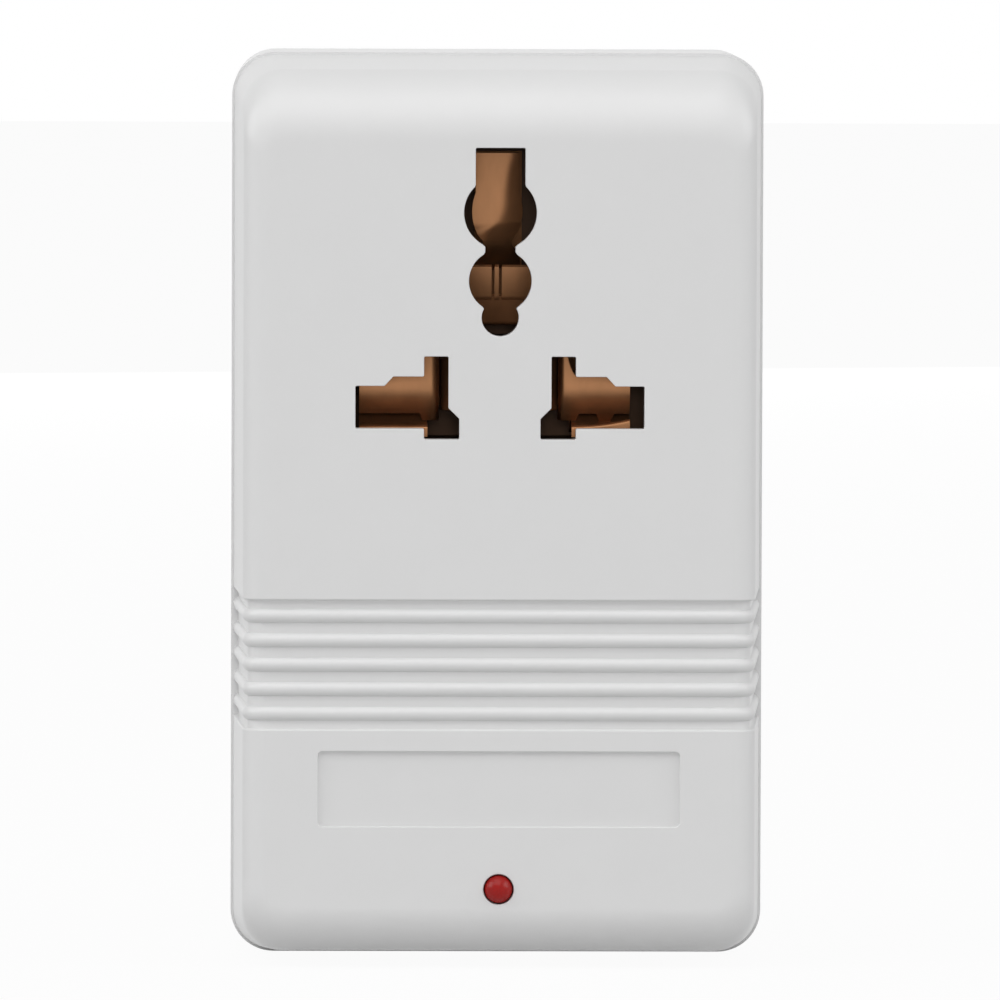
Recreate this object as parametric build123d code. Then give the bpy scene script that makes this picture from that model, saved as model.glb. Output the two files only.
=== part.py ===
"""Travel voltage converter: a two-shell white housing with a universal outlet in its face,
two flat plug blades and a voltage selector on its back, and a laminated transformer inside.

Frame: X to the right seen from the front, Y towards the back, Z up.
The origin is on the base, under the middle of the housing's depth.
"""
import os
from math import atan2, cos, radians, sin, tan

from build123d import *

os.makedirs("parts", exist_ok=True)

# Housing, all lengths in millimetres
body_depth = 50.0
front_depth = 22.0
rear_width = 54.5
rear_height = 92.4
rear_corner = 4.4
rear_roll = 2.6
parting_step = 0.25
side_draft = 1.15
end_draft = 1.65
top_roll = 7.0
bottom_roll = 4.7
side_roll = 2.3
wall = 2.2

face_y = -body_depth / 2
rear_y = body_depth / 2
parting_y = face_y + front_depth
middle_z = rear_height / 2
front_width = rear_width - 2 * parting_step
front_height = rear_height - 2 * parting_step
front_corner = rear_corner - parting_step
face_width = front_width - 2 * side_draft
face_height = front_height - 2 * end_draft
face_inner_y = face_y + wall
rear_inner_y = rear_y - wall

# Clearances
seat_gap = 0.1
running_gap = 0.3
overrun = 5.0

# Sides of closed-in bars and holes
bar_sides = 12

# Tongue of the rear shell inside the front shell
tongue_reach = 1.6
tongue_root = 2.0
tongue_thickness = 0.9
tongue_gap = 0.3

# Grip band: grooves with convex ridges between them
ridge_count = 5
ridge_pitch = 2.475
ridge_radius = 0.75
ridge_sides = 12
groove_depth = 0.5
band_top_z = 37.6
first_ridge_drop = 1.8
band_height = 13.45

# Outlet openings, heights measured from the line of the two power pins
earth_slot_drop = 9.25
earth_slot_rise = 26.21
pin_line_z = rear_height - earth_slot_drop - earth_slot_rise
flat_outer_x = 14.6
flat_half_height = 2.155
shoulder_rise = 3.11
shoulder_outer_x = 11.66
shoulder_inner_x = 10.78
blade_slot_outer_x = 7.67
blade_slot_inner_x = 5.2
blade_slot_rise = 5.14
blade_slot_drop = 3.24
flare_x = 4.1
flare_top_drop = 0.07
flare_bottom_drop = 1.16
earth_slot_width = 5.03
earth_large_rise = 19.66
earth_large_radius = 3.68
earth_small_rise = 12.76
earth_small_radius = 3.17
earth_bulb_rise = 9.06
earth_bulb_radius = 1.88
earth_neck_width = 3.07

# Label recess
recess_width = 36.6
recess_height = 7.6
recess_drop = 2.05
recess_depth = 0.4
recess_top_z = band_top_z - band_height - recess_drop

# Screws that hold the shells together
screw_inset = 5.65
upper_screw_drop = 5.6
lower_screw_drop = 44.2
screw_x = rear_width / 2 - screw_inset
upper_screw_z = rear_height - upper_screw_drop
lower_screw_z = rear_height - lower_screw_drop
screw_radius = 1.25
screw_length = 14.0
screw_seat = 3.0
head_radius = 2.3
head_height = 1.7
screw_clearance = 0.05
front_boss_radius = 2.6
rear_boss_radius = 3.6
cross_width = 0.6
cross_depth = 0.8

# Small self-tapping screws
small_screw_radius = 0.95
small_head_radius = 1.8
small_head_height = 1.2
small_boss_radius = 2.2

# Contact carrier and its retainer
carrier_wall = 1.2
carrier_side_gap = 1.2
carrier_top_gap = 0.49
carrier_drop = 4.8
carrier_shoulder_rise = 6.3
carrier_depth = 15.8
earth_well_gap = 0.2
centre_wall_half = 3.9
retainer_thickness = 2.0
retainer_screw_x = 11.2
retainer_screw_rise = 13.3
retainer_ear = 3.0
retainer_screw_length = 5.0

# Stamped contacts, depths measured from the inside of the face
strip_thickness = 0.5
strip_bend = 1.0
mouth_depth = 0.9
throat_depth = 3.4
side_throat_depth = 5.3
heel_reach = 4.2
heel_depth = carrier_depth - heel_reach
jaw_bend_rise = 2.2
jaw_mouth_half = 3.15
jaw_throat_half = 0.35
jaw_throat_drop = 0.84
live_jaw_inset = 0.4
neutral_jaw_inset = 1.4
live_jaw_outer_x = flat_outer_x - live_jaw_inset
neutral_jaw_outer_x = flat_outer_x - neutral_jaw_inset
carrier_side_x = live_jaw_outer_x + carrier_side_gap + carrier_wall
jaw_inner_x = 7.3
side_leaf_mouth_x = 4.85
side_leaf_throat_x = 6.0
side_leaf_low_rise = 0.6
side_leaf_rise = 5.3
tab_mouth_x = 7.75
tab_x = 6.65
tab_drop = 1.14
tail_width = 3.0
tail_reach = 2.2
tail_x = neutral_jaw_outer_x - tail_width / 2
earth_leaf_depth = 2.8
earth_leaf_low_depth = 5.2
earth_cross_depth = 3.4
earth_bar_depth = 4.4
earth_leaf_top_gap = 0.86
earth_leaf_top_rise = earth_slot_rise - earth_leaf_top_gap
earth_leaf_low_rise = 17.4
earth_leaf_shift = -0.25
earth_leaf_half = 2.2
earth_bulge_half = 2.56
earth_link_half = 2.0
earth_cross_half = 4.4
earth_shoulder_rise = 16.2
earth_cross_top_rise = 14.15
earth_cross_low_rise = 10.66
earth_bar_half = 2.4
earth_bar_low_rise = 8.3
earth_slit_width = 0.3
earth_slit_left_x = -0.67
earth_slit_right_x = 0.07
earth_slit_margin = 0.3
carrier_top_rise = earth_slot_rise + carrier_wall + carrier_top_gap
carrier_earth_half = earth_cross_half + earth_well_gap + 2 * carrier_wall

# Indicator lamp and its board
lamp_z = 8.15
lamp_radius = 1.5
lamp_length = 5.3
lamp_proud = 0.8
lamp_flange_radius = 1.9
lamp_flange_height = 1.0
lamp_hole_gap = 0.1
lamp_boss_radius = 3.2
lead_half = 0.25
lamp_lead_x = 1.27
lead_hole_gap = 0.1
board_width = 18.0
board_low_z = 4.2
board_top_z = 11.9
board_depth = 9.0
board_thickness = 1.6
board_y = face_y + board_depth
post_inset = 1.8
post_x = board_width / 2 - post_inset
post_radius = 1.8
stake_radius = 0.8
stake_reach = 0.8
lead_reach = 0.5
resistor_radius = 1.15
resistor_length = 6.4
resistor_z = 10.3
diode_radius = 0.9
diode_length = 4.2
diode_z = 5.6
component_lead_run = 1.3

# Transformer core and coil, with the coil above the lamp's board and below the lower screws
coil_low_gap = 0.3
core_side_gap = 1.05
core_top_gap = 4.0
core_front_depth = 15.6
core_back_gap = 2.6
limb_count = 6
core_hole_radius = 1.75
bobbin_wall = 1.0
bobbin_flange = 1.0
bobbin_gap = 0.15
coil_build = 7.6
coil_low_z = board_top_z + coil_low_gap
core_width = rear_width - 2 * (wall + core_side_gap)
limb_width = core_width / limb_count
core_low_z = coil_low_z - limb_width
core_height = lower_screw_z - core_top_gap - core_low_z
core_front_y = face_y + core_front_depth
core_stack = rear_inner_y - core_back_gap - coil_build - core_front_y
core_hole_inset = limb_width / 2
coil_corner = 4.0
flange_margin = 0.55
coil_margin = 0.6
winding_space = 0.4
tape_share = 0.338
tape_thickness = 0.25
layer_gap = 0.05
rail_height = 3.0
rail_end = 1.85
terminal_count = 9
terminal_half = 0.4
terminal_reach = 4.0
terminal_back_gap = 4.4
terminal_pitch = 2 * (2 * limb_width - bobbin_gap - rail_end) / (terminal_count - 1)
terminal_y = core_front_y + core_stack + terminal_back_gap
fuse_radius = 1.7
fuse_length = 8.0
fuse_cap = 0.9
fuse_z = core_low_z + core_height / 2

# Ribs that hold the core
rib_inset = 3.5
rib_thickness = 1.6
rib_hook = 1.5
rib_hook_reach = 3.0
cradle_inset = 9.0
rib_x = core_width / 2 - rib_inset
cradle_x = core_width / 2 - cradle_inset

# Plug blades
plug_drop = 26.4
plug_z = rear_height - plug_drop
plug_spacing = 12.7
plug_thickness = 1.5
plug_height = 6.35
plug_reach = 17.0
plug_nose = 0.5
plug_hole_radius = 1.55
plug_hole_reach = 11.7
pad_width = 26.0
pad_height = 16.0
pad_corner = 3.0
pad_rise = 0.8
blade_shoulder_height = 8.4
blade_shoulder_depth = 3.0
blade_tail_height = 4.0
blade_tail_reach = 7.8
blade_tail_hole = 0.8
blade_clamp_height = 9.0
blade_clamp_depth = 3.4
clamp_screw_reach = 5.15
clamp_end = 3.0
clamp_screw_length = 7.6
clamp_screw_x = plug_spacing / 2 + clamp_screw_reach

# Voltage selector
selector_drop = 40.4
selector_z = rear_height - selector_drop
selector_pitch = 3.5
selector_travel = selector_pitch
selector_recess_width = 15.0
selector_recess_height = 8.4
selector_recess_corner = 1.5
selector_recess_depth = 1.4
selector_pad_margin = 0.5
selector_pad_rise = 0.6
knob_width = 4.6
knob_height = 3.9
knob_sink = 0.3
knob_ribs = 3
knob_rib_width = 0.5
knob_rib_depth = 0.4
frame_ear = 5.0
frame_height = 8.0
frame_thickness = 0.6
frame_screw_inset = 2.2
frame_screw_length = 2.4
selector_body_wall = 1.75
selector_body_depth = 7.2
selector_cavity_depth = 4.8
selector_cavity_height = 5.4
carriage_depth = 3.4
carriage_gap = 0.2
carriage_end = 1.8
wiper_row_z = 1.6
wiper_width = 1.0
wiper_overlap = 1.25
wiper_gap = 0.1
wiper_length = selector_pitch + 2 * wiper_overlap
carriage_width = wiper_length + 2 * carriage_end
selector_body_width = carriage_width + selector_travel + 2 * (carriage_gap + selector_body_wall)
frame_width = selector_body_width + 2 * frame_ear
frame_screw_x = frame_width / 2 - frame_screw_inset
contact_head = 0.3
contact_head_width = 2.2
contact_head_height = 1.4
selector_pin_half = 0.4
selector_pin_reach = 3.2

# Internal wiring
wire_radius = 0.8
thin_wire_radius = 0.5
wire_bend_share = 0.3
wire_bend = 1.8
wire_sides = 6
wire_end_gap = 0.1
wire_run_rise = 3.3
blade_run_rise = 5.5
output_lane_y = 0.4
blade_lane_y = 3.5
return_lane_y = 7.5
coil_lane_y = -18.7
coil_lane_x = 9.5
lamp_lane_x = 11.6
lamp_wire_x = 5.2
lamp_wire_z = 10.7
lamp_lane_z = 20.0


def block(xs, ys, zs):
    """Box between a low and a high value on each axis."""
    spans = (xs, ys, zs)
    centre = [(low + high) / 2 for low, high in spans]
    size = [high - low for low, high in spans]
    return Pos(*centre) * Box(*size)


def rod(radius, start, end):
    """Round bar from one point to another."""
    run = Vector(*end) - Vector(*start)
    return extrude(Plane(origin=start, z_dir=run) * Circle(radius), run.length)


def facing(y):
    """Plane at depth y, drawn on in X and Z as seen from the front."""
    return Plane(origin=(0, y, 0), x_dir=(1, 0, 0), z_dir=(0, -1, 0))


def bar(radius, start, end):
    """Closed-in round bar or hole, made with few sides to keep its mesh small."""
    run = Vector(*end) - Vector(*start)
    return extrude(Plane(origin=start, z_dir=run) * RegularPolygon(radius, bar_sides), run.length)


def slab(sketch, front, back):
    """Sketch in X and Z carried from one depth to another."""
    return extrude(facing(back) * sketch, back - front, dir=(0, -1, 0))


def rounded(width, height, corner, z=middle_z):
    """Rounded rectangle in X and Z about a height."""
    return Pos(0, z) * RectangleRounded(width, height, corner)


def mirrored(shape):
    """The same shape on the other side of the middle plane."""
    return mirror(shape, about=Plane.YZ)


def both_sides(shape):
    """A shape and its mirror image."""
    return shape + mirrored(shape)


def group(solids):
    """Several separate solids kept in one node."""
    return Compound(children=[part for solid in solids for part in solid.solids()])


def strip(points, plane, width):
    """Stamped strip: a bent line with thickness, carried along the plane's normal."""
    line = FilletPolyline(*points, radius=strip_bend)
    return extrude(plane * trace(line, strip_thickness), width)


def side_plane(x):
    """Plane at x, drawn on in Y and Z, whose normal is +X."""
    return Plane(origin=(x, 0, 0), x_dir=(0, 1, 0), z_dir=(1, 0, 0))


def top_plane(z):
    """Plane at height z, drawn on in X and Y, whose normal is +Z."""
    return Plane(origin=(0, 0, z), x_dir=(1, 0, 0), z_dir=(0, 0, 1))


def tube(points, radius):
    """Insulated wire through points, each corner eased by a short slanting run.

    Its section has few sides, because the wires are closed in and long.
    """
    corners = [Vector(*point) for point in points]
    path = corners[:1]
    for before, here, after in zip(corners, corners[1:], corners[2:]):
        back, on = before - here, after - here
        cut = min(wire_bend_share * min(back.length, on.length), wire_bend)
        path += [here + back.normalized() * cut, here + on.normalized() * cut]
    path += corners[-1:]
    section = Plane(origin=path[0], z_dir=path[1] - path[0]) * RegularPolygon(radius, wire_sides)
    return sweep(section, path=Polyline(*path), transition=Transition.RIGHT)


def screw(radius, length, screw_head_radius, screw_head_height, place):
    """Pan-head screw with a cross recess, pointing towards -Y from under its head."""
    x, y, z = place
    shank = bar(radius, (x, y, z), (x, y - length, z))
    tip = shank.faces().sort_by(Axis.Y)[0]
    shank = chamfer(tip.edges(), radius / 2)
    head = bar(screw_head_radius, (x, y, z), (x, y + screw_head_height, z))
    crown = head.faces().sort_by(Axis.Y)[-1]
    head = chamfer(crown.edges(), screw_head_height / 2)
    top = y + screw_head_height
    arm = screw_head_radius * 0.6
    slot_depths = (top - cross_depth, top + overrun)
    half = cross_width / 2
    head -= block((x - arm, x + arm), slot_depths, (z - half, z + half))
    head -= block((x - half, x + half), slot_depths, (z - arm, z + arm))
    return shank + head


def corner_cut(front_y, end_z, rim_z, radius):
    """Material outside one large roll between the face and the top or bottom wall.

    Seen from the side it is what lies beyond the arc that touches both the face and the wall.
    """
    outward = 1 if rim_z > end_z else -1
    lean = atan2(abs(rim_z - end_z), parting_y - front_y)
    setback = radius / tan((radians(90) + lean) / 2)
    on_face = (front_y, end_z - outward * setback)
    on_wall = (front_y + setback * cos(lean), end_z + outward * setback * sin(lean))
    beyond_y = front_y - overrun
    beyond_z = rim_z + outward * overrun
    outside = Polygon(on_face, (beyond_y, on_face[1]), (beyond_y, beyond_z), (on_wall[0], beyond_z), on_wall,
                      align=None)
    outside -= Pos(front_y + radius, on_face[1]) * Circle(radius)
    return extrude(Plane.YZ * outside, rear_width, both=True)


def drafted_block(inset):
    """Tapered block between the face and the parting line, its four long corners rounded.

    A side view carried across X meets a plan view carried up Z.
    """
    front_y = face_y + inset
    face_half, rim_half = face_width / 2 - inset, front_width / 2 - inset
    face_rise, rim_rise = face_height / 2 - inset, front_height / 2 - inset
    side = Polygon((parting_y, middle_z - rim_rise), (front_y, middle_z - face_rise),
                   (front_y, middle_z + face_rise), (parting_y, middle_z + rim_rise), align=None)
    plan = Polygon((-rim_half, parting_y), (-face_half, front_y), (face_half, front_y), (rim_half, parting_y),
                   align=None)
    form = extrude(Plane.YZ * side, rear_width, both=True) & extrude(Plane.XY * plan, rear_height, both=True)
    corners = form.edges().filter_by(lambda edge: edge.bounding_box().size.Y > front_depth / 2)
    return fillet(corners, front_corner - inset)


def front_solid(inset):
    """Form of the front shell, or the same form inset by part of the wall.

    A tapered block whose face edges are rolled outside, with larger rolls above and below.
    """
    form = drafted_block(inset)
    if inset == 0:
        form = fillet(form.faces().sort_by(Axis.Y)[0].edges(), side_roll)
    for outward, radius in ((1, top_roll - inset), (-1, bottom_roll - inset)):
        end_z = middle_z + outward * (face_height / 2 - inset)
        rim_z = middle_z + outward * (front_height / 2 - inset)
        form -= corner_cut(face_y + inset, end_z, rim_z, radius)
    return form


def rear_solid(inset):
    """Form of the rear shell: straight walls, with the back edge rolled outside."""
    form = slab(rounded(rear_width - 2 * inset, rear_height - 2 * inset, rear_corner - inset),
                parting_y, rear_y - inset)
    if inset == 0:
        form = fillet(form.faces().sort_by(Axis.Y)[-1].edges(), rear_roll)
    return form


def plan_points(inset):
    """Plan view of the front shell's sides and face, run past the parting line."""
    lean = (front_width - face_width) / 2 / front_depth
    side_x = front_width / 2 + overrun * lean - inset
    corner_x = face_width / 2 - inset
    return [(-side_x, parting_y + overrun), (-corner_x, face_y + inset),
            (corner_x, face_y + inset), (side_x, parting_y + overrun)]


def plan_curve(inset):
    """The plan view with its two front corners rolled."""
    return FilletPolyline(*plan_points(inset), radius=side_roll - inset)


def grip_band():
    """Material between the shell's surface and the groove floor, over the band's height."""
    curve = plan_curve(groove_depth)
    closing = Line(curve @ 1, curve @ 0)
    inner = top_plane(band_top_z - band_height) * make_face([curve, closing])
    low = band_top_z - band_height
    outer = block((-rear_width, rear_width), (face_y - overrun, parting_y + overrun), (low, band_top_z))
    return outer - extrude(inner, band_height)


def ridges():
    """Convex ridges, each a many-sided bar run along the sides and face under the surface."""
    bars = None
    section = RegularPolygon(ridge_radius, ridge_sides, major_radius=False, rotation=180 / ridge_sides)
    for number in range(ridge_count):
        z = band_top_z - first_ridge_drop - number * ridge_pitch
        path = Pos(0, 0, z) * plan_curve(ridge_radius)
        start = Plane(origin=path @ 0, x_dir=(0, 0, 1), z_dir=path % 0)
        ridge = sweep(start * section, path=path)
        bars = ridge if bars is None else bars + ridge
    keep = block((-rear_width, rear_width), (face_y - overrun, parting_y), (0, rear_height))
    return bars & keep


def pin_opening():
    """Left power opening: flat pin slot with shoulders, joined to an upright blade slot."""
    top = pin_line_z + flat_half_height
    low = pin_line_z - flat_half_height
    shoulder = pin_line_z + shoulder_rise
    blade_top = pin_line_z + blade_slot_rise
    blade_low = pin_line_z - blade_slot_drop
    return Polygon(
        (-flat_outer_x, low),
        (-flat_outer_x, top),
        (-shoulder_outer_x, top),
        (-shoulder_inner_x, shoulder),
        (-blade_slot_outer_x, shoulder),
        (-blade_slot_outer_x, blade_top),
        (-blade_slot_inner_x, blade_top),
        (-blade_slot_inner_x, pin_line_z - flare_top_drop),
        (-flare_x, pin_line_z - flare_bottom_drop),
        (-flare_x, blade_low),
        (-blade_slot_outer_x, blade_low),
        (-blade_slot_outer_x, low),
        align=None)


def earth_opening():
    """Earth opening: flat pin slot over two round holes and a small round foot."""
    large_z = pin_line_z + earth_large_rise
    small_z = pin_line_z + earth_small_rise
    slot_top = pin_line_z + earth_slot_rise
    slot = Pos(0, (slot_top + large_z) / 2) * Rectangle(earth_slot_width, slot_top - large_z)
    neck = Pos(0, (large_z + small_z) / 2) * Rectangle(earth_neck_width, large_z - small_z)
    holes = [(large_z, earth_large_radius), (small_z, earth_small_radius),
             (pin_line_z + earth_bulb_rise, earth_bulb_radius)]
    shape = slot + neck
    for z, radius in holes:
        shape += Pos(0, z) * Circle(radius)
    return shape


def shell_screw_places():
    """X and Z of the four screws that join the shells."""
    return [(side * screw_x, z) for z in (upper_screw_z, lower_screw_z) for side in (-1, 1)]


def core_ribs(near_y, core_y, z_top):
    """A pair of upright ribs from a shell's end wall to the core, hooked over its top edge."""
    half = rib_thickness / 2
    xs = (rib_x - half, rib_x + half)
    hook_low = core_low_z + core_height + seat_gap
    rib = block(xs, sorted((near_y, core_y)), (0, z_top))
    inward = 1 if core_y > near_y else -1
    hook = block(xs, sorted((core_y, core_y + inward * rib_hook_reach)), (hook_low, z_top))
    return both_sides(rib + hook)


def front_housing():
    """White front shell with its openings, grip band, recess, bosses and ribs."""
    outer = front_solid(0)
    shell = (outer - grip_band()) + ridges()
    shell -= front_solid(wall)
    core_top = core_low_z + core_height
    inside = core_ribs(face_inner_y, core_front_y - seat_gap, core_top + seat_gap + rib_hook)
    half = rib_thickness / 2
    cradle_ys = (face_inner_y, parting_y - tongue_reach - seat_gap)
    inside += both_sides(block((cradle_x - half, cradle_x + half), cradle_ys, (0, core_low_z - seat_gap)))
    for x, z in shell_screw_places():
        inside += bar(front_boss_radius, (x, face_inner_y, z), (x, parting_y, z))
    inside += bar(lamp_boss_radius, (0, face_inner_y, lamp_z), (0, lamp_flange_y() - seat_gap, lamp_z))
    retainer_z = pin_line_z + retainer_screw_rise
    inside += both_sides(bar(small_boss_radius, (retainer_screw_x, face_inner_y, retainer_z),
                             (retainer_screw_x, retainer_y(), retainer_z)))
    inside += both_sides(bar(post_radius, (post_x, face_inner_y, lamp_z), (post_x, board_y, lamp_z)))
    inside += both_sides(bar(stake_radius, (post_x, board_y, lamp_z),
                             (post_x, board_y + board_thickness + stake_reach, lamp_z)))
    shell += inside & front_solid(wall / 2)
    for opening in (pin_opening(), mirrored(pin_opening()), earth_opening()):
        shell -= slab(opening, face_y - overrun, face_inner_y + seat_gap)
    shell -= slab(Pos(0, recess_top_z - recess_height / 2) * Rectangle(recess_width, recess_height),
                  face_y - overrun, face_y + recess_depth)
    lamp_hole = lamp_radius + lamp_hole_gap
    shell -= rod(lamp_hole, (0, face_y - overrun, lamp_z), (0, face_inner_y + overrun, lamp_z))
    hole = screw_radius + screw_clearance
    depth = screw_length - screw_seat + running_gap
    for x, z in shell_screw_places():
        shell -= bar(hole, (x, parting_y - depth, z), (x, parting_y + overrun, z))
    hole = small_screw_radius + screw_clearance
    depth = retainer_screw_length - retainer_thickness + running_gap
    shell -= both_sides(bar(hole, (retainer_screw_x, retainer_y() - depth, retainer_z),
                            (retainer_screw_x, retainer_y() + overrun, retainer_z)))
    return shell


def tongue():
    """Ring on the rear shell's rim that enters the front shell, open beside the core."""
    width = front_width - 2 * (wall + tongue_gap)
    height = front_height - 2 * (wall + tongue_gap)
    corner = front_corner - wall - tongue_gap
    inner_width = width - 2 * tongue_thickness
    inner_height = height - 2 * tongue_thickness
    inner = rounded(inner_width, inner_height, corner - tongue_thickness)
    ring = slab(rounded(width, height, corner) - inner, parting_y - tongue_reach, parting_y)
    root = rounded(rear_width - 2 * wall, rear_height - 2 * wall, rear_corner - wall) - inner
    ring += slab(root, parting_y, parting_y + tongue_root)
    core_zs = (core_low_z - running_gap, core_low_z + core_height + rib_hook + running_gap)
    ring -= block((-rear_width, rear_width), (parting_y - overrun, parting_y + overrun), core_zs)
    clear = front_boss_radius + running_gap
    for z in (upper_screw_z, lower_screw_z):
        ring -= both_sides(block((screw_x - clear, rear_width), (parting_y - overrun, parting_y),
                                 (z - clear, z + clear)))
    return ring


def rear_housing():
    """White rear shell with its tongue, screw wells, blade slots and selector recess."""
    shell = rear_solid(0) - rear_solid(wall)
    shell += tongue()
    shell += slab(rounded(pad_width, pad_height, pad_corner, plug_z), rear_inner_y, rear_y + pad_rise)
    margin = 2 * selector_pad_margin
    pad = Pos(0, selector_z) * Rectangle(frame_width + margin, frame_height + margin)
    shell += slab(pad, selector_seat_y(), rear_inner_y)
    core_back = core_front_y + core_stack
    core_top = core_low_z + core_height
    inside = core_ribs(rear_inner_y, core_back + seat_gap, core_top + seat_gap + rib_hook)
    half = rib_thickness / 2
    inside += both_sides(block((cradle_x - half, cradle_x + half), (parting_y, rear_inner_y),
                               (0, core_low_z - seat_gap)))
    for x, z in shell_screw_places():
        inside += bar(rear_boss_radius, (x, parting_y, z), (x, rear_inner_y, z))
    clamp_back = blade_clamp_y() + blade_clamp_depth
    inside += both_sides(bar(small_boss_radius, (clamp_screw_x, clamp_back, plug_z),
                             (clamp_screw_x, rear_inner_y, plug_z)))
    shell += inside & rear_solid(wall / 2)
    well = head_radius + running_gap
    seat_y = parting_y + screw_seat
    for x, z in shell_screw_places():
        shell -= rod(well, (x, seat_y, z), (x, rear_y + overrun, z))
        shell -= bar(screw_radius + screw_clearance, (x, parting_y - overrun, z), (x, seat_y + seat_gap, z))
    slot_width = plug_thickness + 2 * seat_gap
    slot_height = plug_height + 2 * seat_gap
    slot = Pos(plug_spacing / 2, plug_z) * Rectangle(slot_width, slot_height)
    shell -= both_sides(slab(slot, rear_inner_y - seat_gap, rear_y + overrun))
    hole = small_screw_radius + screw_clearance
    shell -= both_sides(bar(hole, (clamp_screw_x, clamp_back - overrun, plug_z),
                            (clamp_screw_x, clamp_screw_tip_y() + running_gap, plug_z)))
    shell -= slab(rounded(selector_recess_width, selector_recess_height, selector_recess_corner, selector_z),
                  rear_y - selector_recess_depth, rear_y + overrun)
    window = Rectangle(knob_width + selector_travel + 2 * running_gap, knob_height + 2 * running_gap)
    shell -= slab(Pos(0, selector_z) * window, selector_seat_y() - seat_gap, rear_y + overrun)
    tip_y = selector_seat_y() + frame_screw_length - frame_thickness + running_gap
    shell -= both_sides(bar(hole, (frame_screw_x, selector_seat_y() - overrun, selector_z),
                            (frame_screw_x, tip_y, selector_z)))
    return shell


def housing_screws():
    """Four long screws that pull the rear shell onto the front shell's bosses."""
    seat_y = parting_y + screw_seat
    return group([screw(screw_radius, screw_length, head_radius, head_height, (x, seat_y, z))
                  for x, z in shell_screw_places()])


def retainer_y():
    """Front of the contact retainer, which is the carrier's back."""
    return face_inner_y + carrier_depth


def contact_web_y():
    """Middle of the contacts' back webs, just in front of the retainer."""
    return retainer_y() - seat_gap - strip_thickness / 2


def carrier_outline(margin):
    """Inverted T in X and Z: a low block for the power contacts, a tall one for earth."""
    low = pin_line_z - carrier_drop + margin
    shoulder = pin_line_z + carrier_shoulder_rise - margin
    top = pin_line_z + carrier_top_rise - margin
    wide = Rectangle(2 * (carrier_side_x - margin), shoulder - low)
    tall = Rectangle(2 * (carrier_earth_half - margin), top - shoulder)
    return Pos(0, (low + shoulder) / 2) * wide + Pos(0, (shoulder + top) / 2) * tall


def contact_carrier():
    """Dark insulating block with a well for each contact, open to the face and the back."""
    body = slab(carrier_outline(0), face_inner_y + seat_gap, retainer_y())
    low = pin_line_z - carrier_drop + carrier_wall
    top = pin_line_z + carrier_shoulder_rise - carrier_wall / 2
    depths = (face_y, rear_y)
    body -= both_sides(block((centre_wall_half, carrier_side_x - carrier_wall), depths, (low, top)))
    earth_half = carrier_earth_half - 2 * carrier_wall
    earth_zs = (pin_line_z + carrier_shoulder_rise + carrier_wall / 2 - seat_gap,
                pin_line_z + carrier_top_rise - carrier_wall)
    body -= block((-earth_half, earth_half), depths, earth_zs)
    return body


def contact_retainer():
    """Plate that closes the carrier from behind, with screw ears and slots for the tails."""
    ears_z = pin_line_z + retainer_screw_rise
    ear_half = retainer_screw_x + retainer_ear
    outline = carrier_outline(0) + Pos(0, ears_z) * Rectangle(2 * ear_half, 2 * retainer_ear)
    plate = slab(outline, retainer_y(), retainer_y() + retainer_thickness)
    corners = plate.edges().filter_by(Axis.Y).group_by(Axis.X)
    plate = fillet(list(corners[0]) + list(corners[-1]), carrier_wall)
    hole = small_screw_radius + screw_clearance
    plate -= both_sides(bar(hole, (retainer_screw_x, retainer_y() - overrun, ears_z),
                            (retainer_screw_x, retainer_y() + overrun, ears_z)))
    half = tail_width / 2 + seat_gap
    tail_half = strip_thickness / 2 + seat_gap
    plate -= both_sides(block((tail_x - half, tail_x + half), (face_y, rear_y),
                              (pin_line_z - tail_half, pin_line_z + tail_half)))
    return plate


def contact_retainer_screws():
    """Two screws that hold the retainer on the front shell's bosses."""
    place_y = retainer_y() + retainer_thickness
    z = pin_line_z + retainer_screw_rise
    return group([screw(small_screw_radius, retainer_screw_length, small_head_radius, small_head_height,
                        (side * retainer_screw_x, place_y, z)) for side in (-1, 1)])


def power_contact(outer_x):
    """Right power contact: flat-pin jaws, two upright leaves for blades, web and tail.

    The upper jaw is the broad leaf that the opening shows. It stands upright behind the face,
    then runs back to meet the lower jaw below the pins' line. Its inner end bends back.
    """
    mouth_y, throat_y, heel_y = [face_inner_y + depth for depth in (mouth_depth, throat_depth, heel_depth)]
    side_throat_y = face_inner_y + side_throat_depth
    web_y = contact_web_y()
    z = pin_line_z
    throat_z = z - jaw_throat_drop
    heel_half = jaw_throat_half + strip_bend
    jaws = [(mouth_y, z + side_leaf_rise), (mouth_y, z + jaw_bend_rise),
            (throat_y, throat_z + jaw_throat_half), (heel_y, throat_z + heel_half),
            (web_y, z + jaw_mouth_half), (web_y, z - jaw_mouth_half),
            (heel_y, throat_z - heel_half), (throat_y, throat_z - jaw_throat_half),
            (mouth_y, z - jaw_mouth_half)]
    contact = strip(jaws, side_plane(jaw_inner_x), outer_x - jaw_inner_x)
    leaf = [(side_leaf_mouth_x, mouth_y), (side_leaf_throat_x, side_throat_y),
            (side_leaf_mouth_x, heel_y), (side_leaf_mouth_x, web_y), (jaw_inner_x + strip_bend, web_y)]
    contact += strip(leaf, top_plane(z + side_leaf_low_rise), side_leaf_rise - side_leaf_low_rise)
    tab = [(tab_mouth_x, mouth_y), (tab_x, mouth_y), (tab_x, web_y)]
    contact += strip(tab, top_plane(z - tab_drop), side_leaf_rise + tab_drop)
    half = strip_thickness / 2
    contact += block((tail_x - tail_width / 2, tail_x + tail_width / 2),
                     (web_y, retainer_y() + retainer_thickness + tail_reach), (z - half, z + half))
    return contact


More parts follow.
